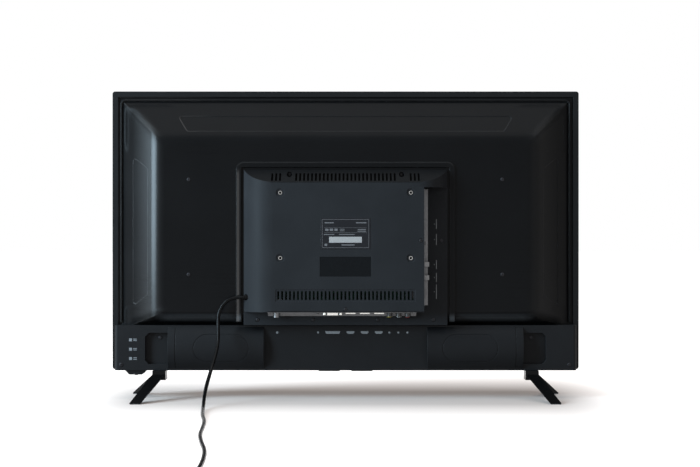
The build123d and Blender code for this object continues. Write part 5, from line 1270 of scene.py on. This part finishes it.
@dataclass
class MainsLead:
    """Mains lead: one free cord from the cover's gland to its plug.

    Attributes:
        shop: Workshop that dresses it.
        radius: Radius of the sheath.
        coil_middle: X and Y of the coil's middle.
        coil_outer: Distance of its first crossing from the middle.
        coil_step: How much nearer or farther each next crossing is.
        lower_crossings: Crossings in the lower layer.
        upper_crossings: Crossings in the upper layer.
        coil_height: Height of the lower layer's middle line.
        coil_layer: Height from one layer to the next.
        half_turn_points: Points on each half turn.
        route: Points from the gland to the coil.
        tail: Points from the coil to the plug.
    """

    shop: Workshop
    radius: float = 0.0028
    coil_middle: tuple[float, float] = (0.117, 0.880)
    coil_outer: float = 0.040
    coil_step: float = 0.0035
    lower_crossings: int = 4
    upper_crossings: int = 3
    coil_height: float = 0.0039
    coil_layer: float = 0.0068
    half_turn_points: int = 6
    route: tuple[Point, ...] = (
        (0.1590, 0.0220, 0.1586),
        (0.1735, 0.0220, 0.1586),
        (0.1875, 0.0230, 0.1502),
        (0.1955, 0.0245, 0.1360),
        (0.1965, 0.0275, 0.1195),
        (0.1955, 0.0330, 0.1030),
        (0.1955, 0.0430, 0.0850),
        (0.1995, 0.0570, 0.0665),
        (0.2040, 0.0760, 0.0470),
        (0.2080, 0.1020, 0.0285),
        (0.2085, 0.1320, 0.0135),
        (0.2065, 0.1650, 0.0050),
        (0.2040, 0.2020, 0.0028),
        (0.1990, 0.2620, 0.0028),
        (0.1900, 0.3300, 0.0028),
        (0.1860, 0.4040, 0.0028),
        (0.1830, 0.4800, 0.0028),
        (0.1740, 0.5560, 0.0028),
        (0.1630, 0.6300, 0.0028),
        (0.1580, 0.7040, 0.0028),
        (0.1562, 0.7780, 0.0028),
        (0.1570, 0.8280, 0.0039),
        (0.1570, 0.8744, 0.0039),
    )
    tail: tuple[Point, ...] = (
        (0.1535, 0.8856, 0.0107),
        (0.1535, 0.9036, 0.0107),
        (0.1515, 0.9216, 0.008775),
        (0.1515, 0.9396, 0.00685),
        (0.1515, 0.9576, 0.00685),
    )

    def coil_points(self) -> list[Point]:
        """Points of the coil's half turns, whose curve passes through its crossings.

        Returns:
            Points in metres.
        """
        inner = self.coil_outer - (self.lower_crossings - 1) * self.coil_step
        reaches = [self.coil_outer - self.coil_step * turn for turn in range(self.lower_crossings)]
        reaches += [inner + self.coil_step * turn for turn in range(self.upper_crossings)]
        heights = [self.coil_height] * self.lower_crossings
        heights += [self.coil_height + self.coil_layer] * self.upper_crossings
        points = []
        step = math.pi / self.half_turn_points
        for turn in range(len(reaches) - 1):
            side = (-1) ** turn
            radius = (reaches[turn] + reaches[turn + 1]) / 2 / math.cos(step / 2)
            middle = self.coil_middle[0] + side * (reaches[turn] - reaches[turn + 1]) / 2
            for number in range(self.half_turn_points):
                angle = (number + 0.5) * step
                share = (number + 0.5) / self.half_turn_points
                x = middle + side * radius * math.cos(angle)
                y = self.coil_middle[1] + side * radius * math.sin(angle)
                points.append((x, y, heights[turn] * (1 - share) + heights[turn + 1] * share))
        return points

    def make(self) -> None:
        """Makes the cord, hides the CAD cord and dresses its plug, pins and tie."""
        points = [*self.route, *self.coil_points(), *self.tail]
        curve = bpy.data.curves.new("mains_lead", "CURVE")
        curve.dimensions = "3D"
        spline = curve.splines.new("NURBS")
        spline.points.add(len(points) - 1)
        for control, spot in zip(spline.points, points):
            control.co = (*spot, 1.0)
        spline.order_u = 3
        spline.use_endpoint_u = True
        spline.resolution_u = 8
        curve.bevel_depth = self.radius
        curve.bevel_resolution = 4
        curve.use_fill_caps = True
        cord = self.shop.piece("mains_lead", curve, Slot.SHEATH)
        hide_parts("cord_run", "cord_coil", "cord_tail")
        self.shop.dress(FINISHES[Slot.PLUG], "plug_body")
        self.shop.dress(FINISHES[Slot.PIN], "plug_pins")
        self.shop.dress(FINISHES[Slot.TIE], "cord_tie")


@dataclass
class ScreenStack:
    """Front of the set: bezel, panel, films, middle frame and backlight."""

    shop: Workshop

    def make(self) -> None:
        """Dresses the stack's CAD nodes."""
        bezel = MouldedPlastic("bezel_gloss", (0.006, 0.006, 0.0066), 0.3, 0.4, grain_depth=0.01 * MM)
        self.shop.dress(bezel, "front_bezel")
        rim = MouldedPlastic("frame_black", (0.0045, 0.0048, 0.0052), 0.42, 0.09, wear=0.15)
        self.shop.dress(rim, "middle_frame")
        self.shop.dress(FINISHES[Slot.SCREEN], "lcd_panel")
        self.shop.dress(FINISHES[Slot.FOAM], "panel_gasket")
        self.shop.dress(FINISHES[Slot.WHITE], "optical_films", "diffuser_plate", "reflector_sheet")
        self.shop.dress(FINISHES[Slot.LAMP_BOARD], "lamp_strips")
        self.shop.dress(FINISHES[Slot.LENS], "lamp_lenses")


@dataclass
class Back:
    """Rear and inside of the set: tray, covers, terminals, boards, speakers, feet and pod."""

    shop: Workshop

    def make(self) -> None:
        """Dresses the CAD nodes of the rear and the inside."""
        rows: tuple[tuple[Slot, tuple[str, ...]], ...] = (
            (Slot.TRAY, ("rear_tray",)),
            (Slot.LABEL, ("label_plate",)),
            (Slot.SCREW, ("board_screws",)),
            (Slot.POST, ("wall_mount_posts", "board_spacers")),
            (Slot.BOARD, ("main_board", "power_board", "key_board")),
            (Slot.COMPONENT, ("processor_chip", "power_transformer", "mains_choke")),
            (Slot.SLEEVE, ("capacitors",)),
            (Slot.ALUMINIUM, ("heat_sink",)),
            (Slot.TERMINAL, ("side_terminal_plate", "bottom_terminal_plate")),
            (Slot.SOCKET_METAL, ("monitor_socket", "video_sockets")),
            (Slot.SOCKET_PLASTIC, ("card_slot", "network_socket", "earphone_jack")),
            (Slot.SOCKET_PLASTIC, ("audio_socket", "phono_jacks")),
            (Slot.SPEAKER, ("speaker_frames",)),
            (Slot.CONE, ("speaker_cones",)),
            (Slot.MAGNET, ("speaker_magnets",)),
            (Slot.FOOT, ("foot_right", "foot_left")),
            (Slot.PAD, ("foot_pads",)),
            (Slot.RECEIVER, ("receiver_lens",)),
            (Slot.KEY, ("joystick_housing", "joystick_cradle", "joystick_stem", "joystick_cap")),
        )
        for slot, nodes in rows:
            self.shop.dress(FINISHES[slot], *nodes)
        cover = CoverPlastic("cover_black", (0.0135, 0.0142, 0.0155), 0.46, 0.03)
        self.shop.dress(cover, "electronics_cover")
        lower = MouldedPlastic("lower_black", (0.0058, 0.0060, 0.0066), 0.48, 0.075)
        self.shop.dress(lower, "lower_cover", "control_pod")
        shells = BareMetal("socket_dull", (0.13, 0.13, 0.132), 0.4, stain=0.4)
        self.shop.dress(shells, "data_sockets", "aerial_socket")


@dataclass
class Fasteners:
    """Screws with cross recesses, where the CAD has them and in the lower cover's corners.

    Attributes:
        shop: Workshop that makes them.
        head: Height of the CAD screws' heads.
        reach: Largest distance within one CAD screw.
        nodes: CAD nodes that are replaced.
        shank: Length of their screws below the seat.
        corner_shank: Length of the corner screws below the seat.
        corner_places: Seats of the corner screws.
        turn: Largest chance turn of a recess, in radians.
    """

    shop: Workshop
    head: float = 1.2 * MM
    reach: float = 8 * MM
    nodes: tuple[str, ...] = ("tray_screws", "cover_screws", "foot_screws")
    shank: float = 1.8 * MM
    corner_shank: float = 1.5 * MM
    corner_places: tuple[Point, ...] = ((0.349, 0.0011, 0.053), (-0.348, 0.0011, 0.053))
    turn: float = 1.5

    def seats(self, node: str) -> list[Point]:
        """Seats of the screws of a CAD node.

        Args:
            node: Name of the node.

        Returns:
            Middle of each head's lower face.
        """
        return [
            ((low.x + high.x) / 2, high.y - self.head, (low.z + high.z) / 2)
            for low, high in islands(node, self.reach)
        ]

    def make(self) -> None:
        """Replaces the CAD screws and adds those that only show."""
        for node in self.nodes:
            template = PanHead(self.shank).mesh(f"{node}_head")
            seats = self.seats(node)
            item = self.shop.repeat(f"{node}_detailed", template, seats, Slot.SCREW, turn=self.turn)
            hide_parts(node)
        corners = PanHead(self.corner_shank).mesh("corner_head")
        self.shop.repeat("corner_screws", corners, self.corner_places, Slot.SCREW, turn=self.turn)


# X of the video sockets and the phono jacks, in millimetres
VIDEO_SOCKETS = (-7.7, -29.7, -51.7)
PHONO_JACKS = (-68.0, -82.0, -96.0)


@dataclass
class Print:
    """Plain marks on the label and beside the sockets and controls: bars, blocks, dots and outlines.

    Attributes:
        shop: Workshop that makes them.
        ink: Thickness of the ink.
        label_face: Y of the label's face.
        label_middle: Height of the label's middle.
        label_frame: Width, height and line of the label's frame.
        label_rules: Heights of the label's thin lines, from its middle.
        rule: Length and line of those.
        label_bars: X, Z, width and height of the label's bars in millimetres, from its middle.
        strip: Z, width and height of the label's blank strip, from its middle.
        ledge_face: Y of the ledge beside the side sockets.
        side_x: X of the bars on that ledge.
        side_bars: Height and length of each, the length in millimetres.
        side_bar: Width of a bar, distance to its dot and size of the dot.
        lower_face: Y of the lower cover's face.
        lower_z: Height of the socket marks on it.
        video_mark: Corners of a video socket's mark in millimetres, from its middle.
        monitor_mark: Corners of the monitor socket's mark in millimetres.
        round_marks: X and radius of the round marks in millimetres.
        round_points: Points of a round mark.
        control_rows: Heights of the marks above the control pod.
        control_block: X and size of the block in each row.
        control_bars: X, length and width of the two bars in each row, and their distance from its middle.
    """

    shop: Workshop
    ink: float = 0.06 * MM
    label_face: float = 0.0451
    label_middle: float = 0.2569
    label_frame: tuple[float, float, float] = (71 * MM, 43 * MM, 0.45 * MM)
    label_rules: tuple[float, float] = (9 * MM, 1.5 * MM)
    rule: tuple[float, float] = (65 * MM, 0.3 * MM)
    label_bars: tuple[tuple[float, float, float, float], ...] = (
        (25.0, 16.5, 14.0, 1.6),
        (-24.0, 16.5, 16.0, 1.6),
        (28.5, 5.8, 5.0, 3.4),
        (21.5, 5.8, 5.0, 3.4),
        (14.5, 5.8, 5.0, 3.4),
        (5.0, 6.6, 7.0, 1.0),
        (5.0, 4.2, 7.0, 1.0),
        (-25.0, 6.2, 13.0, 1.2),
        (-25.0, 3.6, 13.0, 1.2),
        (25.0, -1.4, 16.0, 1.2),
        (-2.0, -1.4, 24.0, 1.2),
        (30.0, -17.2, 4.0, 3.6),
        (-4.0, -17.4, 20.0, 1.6),
    )
    strip: tuple[float, float, float] = (-9.4 * MM, 50 * MM, 9 * MM)
    ledge_face: float = 0.016
    side_x: float = -0.1405
    side_bars: tuple[tuple[float, float], ...] = (
        (0.2715, 15),
        (0.2477, 17),
        (0.209, 14),
        (0.189, 14),
        (0.167, 22),
    )
    side_bar: tuple[float, float, float] = (1.1 * MM, 3 * MM, 1.3 * MM)
    lower_face: float = 0.001
    lower_z: float = 0.103
    video_mark: tuple[tuple[float, float], ...] = ((-6, 2), (6, 2), (6, 0), (4, -2), (-4, -2), (-6, 0))
    monitor_mark: tuple[tuple[float, float], ...] = ((8, 2), (32, 2), (30, -2), (10, -2))
    round_marks: tuple[tuple[float, float], ...] = (
        (42.8, 1.6),
        (106.4, 1.8),
        *((x, 1.6) for x in PHONO_JACKS),
    )
    round_points: int = 16
    control_rows: tuple[float, float, float] = (0.0915, 0.077, 0.0625)
    control_block: tuple[float, float] = (0.3345, 4.5 * MM)
    control_bars: tuple[float, float, float, float] = (0.3275, 5.5 * MM, 1.1 * MM, 1.2 * MM)

    def mark(self, build: bmesh.types.BMesh, outline: Outline, face: float) -> None:
        """Adds one printed mark.

        Args:
            build: Bmesh to add to.
            outline: X and Z of its corners in order.
            face: Y of the face that it stands on.
        """
        prism(build, outline, face, face + self.ink)

    def label(self) -> None:
        """Frame line, rules, bars and blank pale strip of the label."""
        lines = bmesh.new()
        middle = self.label_middle
        wide, tall, line = self.label_frame
        for sign in (-1, 1):
            self.mark(lines, box(sign * wide / 2, middle, line, tall + line), self.label_face)
            self.mark(lines, box(0.0, middle + sign * tall / 2, wide - line, line), self.label_face)
        for rise in self.label_rules:
            self.mark(lines, box(0.0, middle + rise, *self.rule), self.label_face)
        for x, z, wide_bar, tall_bar in self.label_bars:
            bar = box(x * MM, middle + z * MM, wide_bar * MM, tall_bar * MM)
            self.mark(lines, bar, self.label_face)
        grey = PaleSheet("ink_grey", (0.09, 0.09, 0.093), 0.5, 0.3)
        self.shop.piece("label_lines", mesh_from(lines, "label_lines"), Slot.LABEL, grey, smooth=False)
        strip = bmesh.new()
        rise, wide, tall = self.strip
        self.mark(strip, box(0.0, middle + rise, wide, tall), self.label_face)
        pale = PaleSheet("strip_pale", (0.25, 0.245, 0.24), 0.5, 0.3)
        self.shop.piece("label_strip", mesh_from(strip, "label_strip"), Slot.LABEL, pale, smooth=False)

    def beside_sockets(self, build: bmesh.types.BMesh) -> None:
        """Bars and dots beside the side sockets.

        Args:
            build: Bmesh to add to.
        """
        wide, shift, dot = self.side_bar
        for z, tall in self.side_bars:
            self.mark(build, box(self.side_x, z, wide, tall * MM), self.ledge_face)
            self.mark(build, box(self.side_x + shift, z, dot, dot), self.ledge_face)

    def under_sockets(self, build: bmesh.types.BMesh) -> None:
        """Socket outlines on the lower cover.

        Args:
            build: Bmesh to add to.
        """
        shapes = [[(middle + x, z) for x, z in self.video_mark] for middle in VIDEO_SOCKETS]
        shapes.append(list(self.monitor_mark))
        for middle, radius in self.round_marks:
            shapes.append([(middle + x, z) for x, z in circle(radius, self.round_points)])
        for shape in shapes:
            outline = [(x * MM, self.lower_z + z * MM) for x, z in shape]
            self.mark(build, outline, self.lower_face)

    def at_controls(self, build: bmesh.types.BMesh) -> None:
        """Three rows of plain marks above the control pod.

        Args:
            build: Bmesh to add to.
        """
        block_x, block = self.control_block
        bar_x, length, width, shift = self.control_bars
        for z in self.control_rows:
            self.mark(build, box(block_x, z, block, block), self.lower_face)
            for rise in (shift, -shift):
                self.mark(build, box(bar_x, z + rise, length, width), self.lower_face)

    def make(self) -> None:
        """Makes the label's print and the marks."""
        self.label()
        marks = bmesh.new()
        self.beside_sockets(marks)
        self.under_sockets(marks)
        self.at_controls(marks)
        grey = PaleSheet("ink_faint", (0.13, 0.135, 0.14), 0.55, 0.3)
        self.shop.piece("printed_marks", mesh_from(marks, "printed_marks"), Slot.CABINET, grey, smooth=False)


@dataclass
class Terminals:
    """Small parts of the sockets: contacts, and the coloured rings of the phono jacks.

    Attributes:
        shop: Workshop that makes them.
        video_pins: Contacts in each of a video socket's two rows.
        video_pitch: Distance between them in millimetres.
        video_rows: Y of the rows' middle, half their distance and Z, in millimetres.
        video_pin: Size of one contact.
        network_pins: Contacts of the network socket.
        network_pitch: Distance between them.
        network_middle: Middle of its row.
        network_pin: Size of one contact.
        bevel_share: Bevel of a contact as a share of its thinnest side.
        ring_profile: Distance along the axis and radius of a ring's corners, in millimetres.
        ring_place: Y and Z of the rings' seats.
        ring_colours: Name and colour of the ring of each phono jack.
        ring_steps: Points round a ring.
    """

    shop: Workshop
    video_pins: int = 9
    video_pitch: float = 1.05
    video_rows: tuple[float, float, float] = (22.8, 0.66, 137.2)
    video_pin: Point = (0.4 * MM, 0.12 * MM, 5.5 * MM)
    network_pins: int = 8
    network_pitch: float = 1.02 * MM
    network_middle: Point = (-0.1155, 0.0305, 0.165)
    network_pin: Point = (9.5 * MM, 0.25 * MM, 0.45 * MM)
    bevel_share: float = 0.2
    ring_profile: tuple[tuple[float, float], ...] = (
        (0.0, 1.75),
        (0.0, 3.95),
        (0.25, 3.95),
        (0.35, 3.7),
        (0.35, 1.9),
        (0.2, 1.75),
    )
    ring_place: tuple[float, float] = (26.1 * MM, 128.7 * MM)
    ring_colours: tuple[tuple[str, Colour], ...] = (
        ("yellow", (0.6, 0.42, 0.02)),
        ("white", (0.6, 0.6, 0.58)),
        ("red", (0.45, 0.02, 0.015)),
    )
    ring_steps: int = 32

    def contact(self, size: Point) -> bpy.types.Mesh:
        """Sprung contact: a strip with bevelled edges.

        Args:
            size: Its length along each axis.

        Returns:
            The mesh around its own middle.
        """
        return bevelled_box("contact", size, min(size) * self.bevel_share, 1)

    def contacts(self) -> None:
        """Contacts of the video sockets and the network socket."""
        gold = BareMetal("contact_gold", (0.75, 0.52, 0.2), 0.25, stain=0.1)
        row_y, row_half, row_z = self.video_rows
        middle_pin = (self.video_pins - 1) / 2
        places = []
        for middle in VIDEO_SOCKETS:
            for number in range(self.video_pins):
                x = middle + (number - middle_pin) * self.video_pitch
                for side in (-1, 1):
                    places.append((x * MM, (row_y + side * row_half) * MM, row_z * MM))
        template = self.contact(self.video_pin)
        self.shop.repeat("video_contacts", template, places, Slot.SOCKET_METAL, gold)
        x, y, z = self.network_middle
        middle_pin = (self.network_pins - 1) / 2
        rises = [(number - middle_pin) * self.network_pitch for number in range(self.network_pins)]
        places = [(x, y, z + rise) for rise in rises]
        template = self.contact(self.network_pin)
        self.shop.repeat("network_contacts", template, places, Slot.SOCKET_METAL, gold)

    def rings(self) -> None:
        """Coloured ring of each phono jack."""
        profile = [(along * MM, radius * MM) for along, radius in self.ring_profile]
        for (name, colour), x in zip(self.ring_colours, PHONO_JACKS):
            finish = MouldedPlastic(f"ring_{name}", colour, 0.35, 0.4, grain_depth=0.005 * MM)
            origin = (x * MM, *self.ring_place)
            down = (0.0, 0.0, -1.0)
            mesh = revolve(f"phono_ring_{name}", profile, down, origin, self.ring_steps, hollow=True)
            self.shop.piece(f"phono_ring_{name}", mesh, Slot.SOCKET_PLASTIC, finish)

    def make(self) -> None:
        """Makes the contacts and rings."""
        self.contacts()
        self.rings()


@dataclass
class LeadFittings:
    """Strain relief at the cover and grip ribs on the plug.

    Attributes:
        shop: Workshop that makes them.
        start: X of the boot's inner end in millimetres.
        collar_end: X of its collar's outer end in millimetres.
        end: X of its outer end in millimetres.
        place: Y and Z of its axis.
        collar: Radius of the collar and its two chamfers, in millimetres.
        boot: Radius of the first groove's wall and how much the last is thinner, in millimetres.
        mouth: Radii of the outer end in millimetres.
        grooves: Number of grooves.
        rib_start: Distance along and height of each corner of a rib's start, in millimetres.
        rib_end: The same for its end, from where the next rib starts.
        boot_steps: Points round the boot.
        grip: Size of a rib of the plug.
        grip_bevel: Bevel of that rib.
        grip_first: Distance of the first rib from the plug's end.
        grip_pitch: Distance between ribs.
        grip_count: Ribs on each side.
        grip_sink: How far their middle lies in the plug.
    """

    shop: Workshop
    start: float = 137.5
    collar_end: float = 140.5
    end: float = 159.0
    place: tuple[float, float] = (0.022, 0.1586)
    collar: tuple[float, float, float] = (7.0, 0.4, 0.6)
    boot: tuple[float, float] = (4.6, 1.1)
    mouth: tuple[float, float] = (3.1, 2.9)
    grooves: int = 6
    rib_start: tuple[tuple[float, float], ...] = ((0.15, -0.05), (0.5, 0.0))
    rib_end: tuple[tuple[float, float], ...] = ((-0.9, -0.1), (-0.6, -0.8), (-0.1, -0.8))
    boot_steps: int = 36
    grip: Point = (9 * MM, 1.1 * MM, 0.9 * MM)
    grip_bevel: float = 0.3 * MM
    grip_first: float = 20 * MM
    grip_pitch: float = 3.2 * MM
    grip_count: int = 6
    grip_sink: float = 0.2 * MM

    def boot_profile(self) -> list[tuple[float, float]]:
        """Outline of the boot: its collar, then ribs that get thinner.

        Returns:
            X and radius of each corner in millimetres.
        """
        collar, inner_chamfer, outer_chamfer = self.collar
        radius, taper = self.boot
        profile = [
            (self.start, radius),
            (self.start, collar - inner_chamfer),
            (self.start + inner_chamfer, collar),
            (self.collar_end - outer_chamfer, collar),
            (self.collar_end, collar - outer_chamfer),
        ]
        pitch = (self.end - self.collar_end) / self.grooves
        for number in range(self.grooves):
            wide = radius - taper * number / self.grooves
            first = self.collar_end + number * pitch
            profile += [(first + along, wide + rise) for along, rise in self.rib_start]
            profile += [(first + pitch + along, wide + rise) for along, rise in self.rib_end]
        profile += [(self.end, edge) for edge in self.mouth]
        return profile

    def make(self) -> None:
        """Replaces the gland with a ribbed, tapered boot and adds the plug's ribs."""
        scaled = [((along - self.start) * MM, radius * MM) for along, radius in self.boot_profile()]
        origin = (self.start * MM, *self.place)
        mesh = revolve("strain_relief", scaled, (1.0, 0.0, 0.0), origin, self.boot_steps)
        boot = self.shop.piece("strain_relief", mesh, Slot.SHEATH)
        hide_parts("cord_gland")
        low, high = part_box("plug_body")
        template = bevelled_box("plug_rib", self.grip, self.grip_bevel, 2)
        middle = (low[0] + high[0]) / 2
        places = [
            (middle, low[1] + self.grip_first + self.grip_pitch * number, z)
            for number in range(self.grip_count)
            for z in (low[2] + self.grip_sink, high[2] - self.grip_sink)
        ]
        self.shop.repeat("plug_ribs", template, places, Slot.PLUG)


@dataclass
class Softbox:
    """A soft lamp.

    Attributes:
        place: Where it stands.
        aim: Point that it faces.
        size: Width and height.
        power: Watts.
        colour: Colour of its light.
    """

    place: Point
    aim: Point
    size: tuple[float, float]
    power: float
    colour: Colour = (1.0, 1.0, 1.0)

    def make(self, name: str) -> None:
        """Adds the lamp.

        Args:
            name: Name of the lamp.
        """
        light = bpy.data.lights.new(name, "AREA")
        light.shape = "RECTANGLE"
        light.size, light.size_y = self.size
        light.energy = self.power
        light.color = self.colour
        item = placed(name, light)
        item.location = self.place
        item.rotation_euler = (Vector(self.aim) - Vector(self.place)).to_track_quat("-Z", "Y").to_euler()


@dataclass
class Studio:
    """Camera, lamps, pale floor and pale surroundings.

    Attributes:
        eye: Place of the camera.
        lens: Its focal length in millimetres.
        sensor: Width of its sensor in millimetres.
        far: Farthest distance that it sees.
        floor_size: Side of the floor.
        floor_colours: Darkest and lightest colour of the floor.
        room_light: Strength of the surroundings as a light.
        lamps: The soft lamps.
        under: Half width of the floor's painted shadow stretch under the set, and the Y of its two sides.
        shaded: Glow of the floor inside that stretch, kept low as a painted shadow.
        fade: Distance from the stretch at which the glow starts to rise, and the length of the rise.
        side_haste: How much faster it rises sideways.
    """

    eye: Point = (-0.0069, 2.545, 0.257)
    lens: float = 84.1
    sensor: float = 36.0
    far: float = 100.0
    floor_size: float = 40.0
    floor_colours: tuple[Colour, Colour] = ((0.46, 0.39, 0.355), (0.48, 0.41, 0.375))
    room_light: float = 0.25
    lamps: tuple[Softbox, ...] = (
        Softbox((2.35, 1.35, 0.95), (0.1, 0.0, 0.25), (1.0, 1.7), 190.0, (0.64, 0.85, 1.0)),
        Softbox((-1.9, 1.95, 1.55), (-0.3, 0.0, 0.4), (0.35, 0.6), 10.0, (0.8, 0.88, 1.0)),
        Softbox((0.0, -0.2, 2.7), (0.0, 0.0, 0.0), (1.8, 1.2), 22.0),
        Softbox((0.0, 1.2, 2.7), (0.0, 0.0, 0.3), (2.4, 1.2), 15.0),
        Softbox((1.75, 1.0, 1.95), (0.33, 0.0, 0.45), (0.6, 0.6), 26.0, (0.72, 0.88, 1.0)),
    )
    under: tuple[float, float, float] = (0.30, -0.06, 0.03)
    shaded: float = 0.04
    fade: tuple[float, float] = (0.05, 0.35)
    side_haste: float = 2.5

    def camera(self) -> None:
        """Sets the camera straight behind the set, as in the photograph."""
        data = bpy.data.cameras.new("camera")
        data.lens = self.lens
        data.sensor_width = self.sensor
        data.clip_end = self.far
        item = placed("camera", data)
        item.location = self.eye
        item.rotation_euler = (math.pi / 2, 0.0, math.pi)
        bpy.context.scene.camera = item

    def seen(self, graph: Graph) -> Value:
        """One for the rays that see the backdrop: straight, in gloss or through glass.

        Args:
            graph: Graph of the world or floor.

        Returns:
            Number from 0 to 1.
        """
        names = ("Is Camera Ray", "Is Glossy Ray", "Is Transmission Ray")
        rays = [graph.add("ShaderNodeLightPath", output=name) for name in names]
        return (rays[0] + rays[1] + rays[2]).held()

    def world(self) -> None:
        """Pale world: white where it is seen, plain grey light for the rest."""
        world = bpy.data.worlds.new("studio")
        bpy.context.scene.world = world
        world.use_nodes = True
        graph = Graph(world.node_tree)
        level = self.room_light + self.seen(graph) * (1.0 - self.room_light)
        shade = graph.add("ShaderNodeBackground", None, {"Color": (1.0, 1.0, 1.0), "Strength": level})
        graph.add("ShaderNodeOutputWorld", None, {"Surface": shade})

    def floor(self) -> None:
        """Pale floor whose soft shadow is partly cast by the lamps and partly painted, as a glow that is
        weak near the set.
        """
        build = bmesh.new()
        bmesh.ops.create_grid(build, x_segments=1, y_segments=1, size=self.floor_size / 2)
        item = placed("floor", mesh_from(build, "floor"))
        material = bpy.data.materials.new("floor_pale")
        material.use_nodes = True
        graph = Graph(material.node_tree)
        base = graph.mix(graph.noise(3 * MM, 2.0), *self.floor_colours)
        diffuse = graph.add("ShaderNodeBsdfDiffuse", None, {"Color": base})
        light = {"Color": (1.0, 1.0, 1.0), "Strength": self.seen(graph) * self.glow(graph)}
        glow = graph.add("ShaderNodeEmission", None, light)
        both = graph.add("ShaderNodeAddShader", None, {0: diffuse, 1: glow})
        graph.add("ShaderNodeOutputMaterial", None, {"Surface": both})
        item.data.materials.append(material)

    def glow(self, graph: Graph) -> Value:
        """Glow of the floor, weak near the set: a painted shadow on top of the one that the lamps cast.

        Args:
            graph: Graph of the floor.

        Returns:
            Number up to 1.
        """
        half, front, back = self.under
        beside = graph.beyond("X", half)
        before = graph.beyond("Y", (back - front) / 2, (0.0, (front + back) / 2, 0.0))
        beside = beside.math("MAXIMUM", beside, 0.0) * self.side_haste
        before = before.math("MAXIMUM", before, 0.0)
        away = (beside * beside + before * before) ** 0.5
        # Painted shadow: the glow is kept low in a stretch round the set and rises away from it.
        return self.shaded + away.ramp(*self.fade) * (1.0 - self.shaded)

    def make(self) -> None:
        """Builds the studio."""
        self.camera()
        self.world()
        self.floor()
        for number, lamp in enumerate(self.lamps):
            lamp.make(f"softbox_{number}")
        bpy.context.scene.view_settings.view_transform = "Standard"


def main() -> None:
    """Builds the scene."""
    logging.basicConfig(level=logging.INFO)
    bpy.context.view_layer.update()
    shop = Workshop()
    Studio().make()
    builders = (MainsLead, LeadFittings, ScreenStack, Back, Fasteners, Print, Terminals)
    for builder in builders:
        builder(shop).make()


if __name__ == "__main__":
    main()
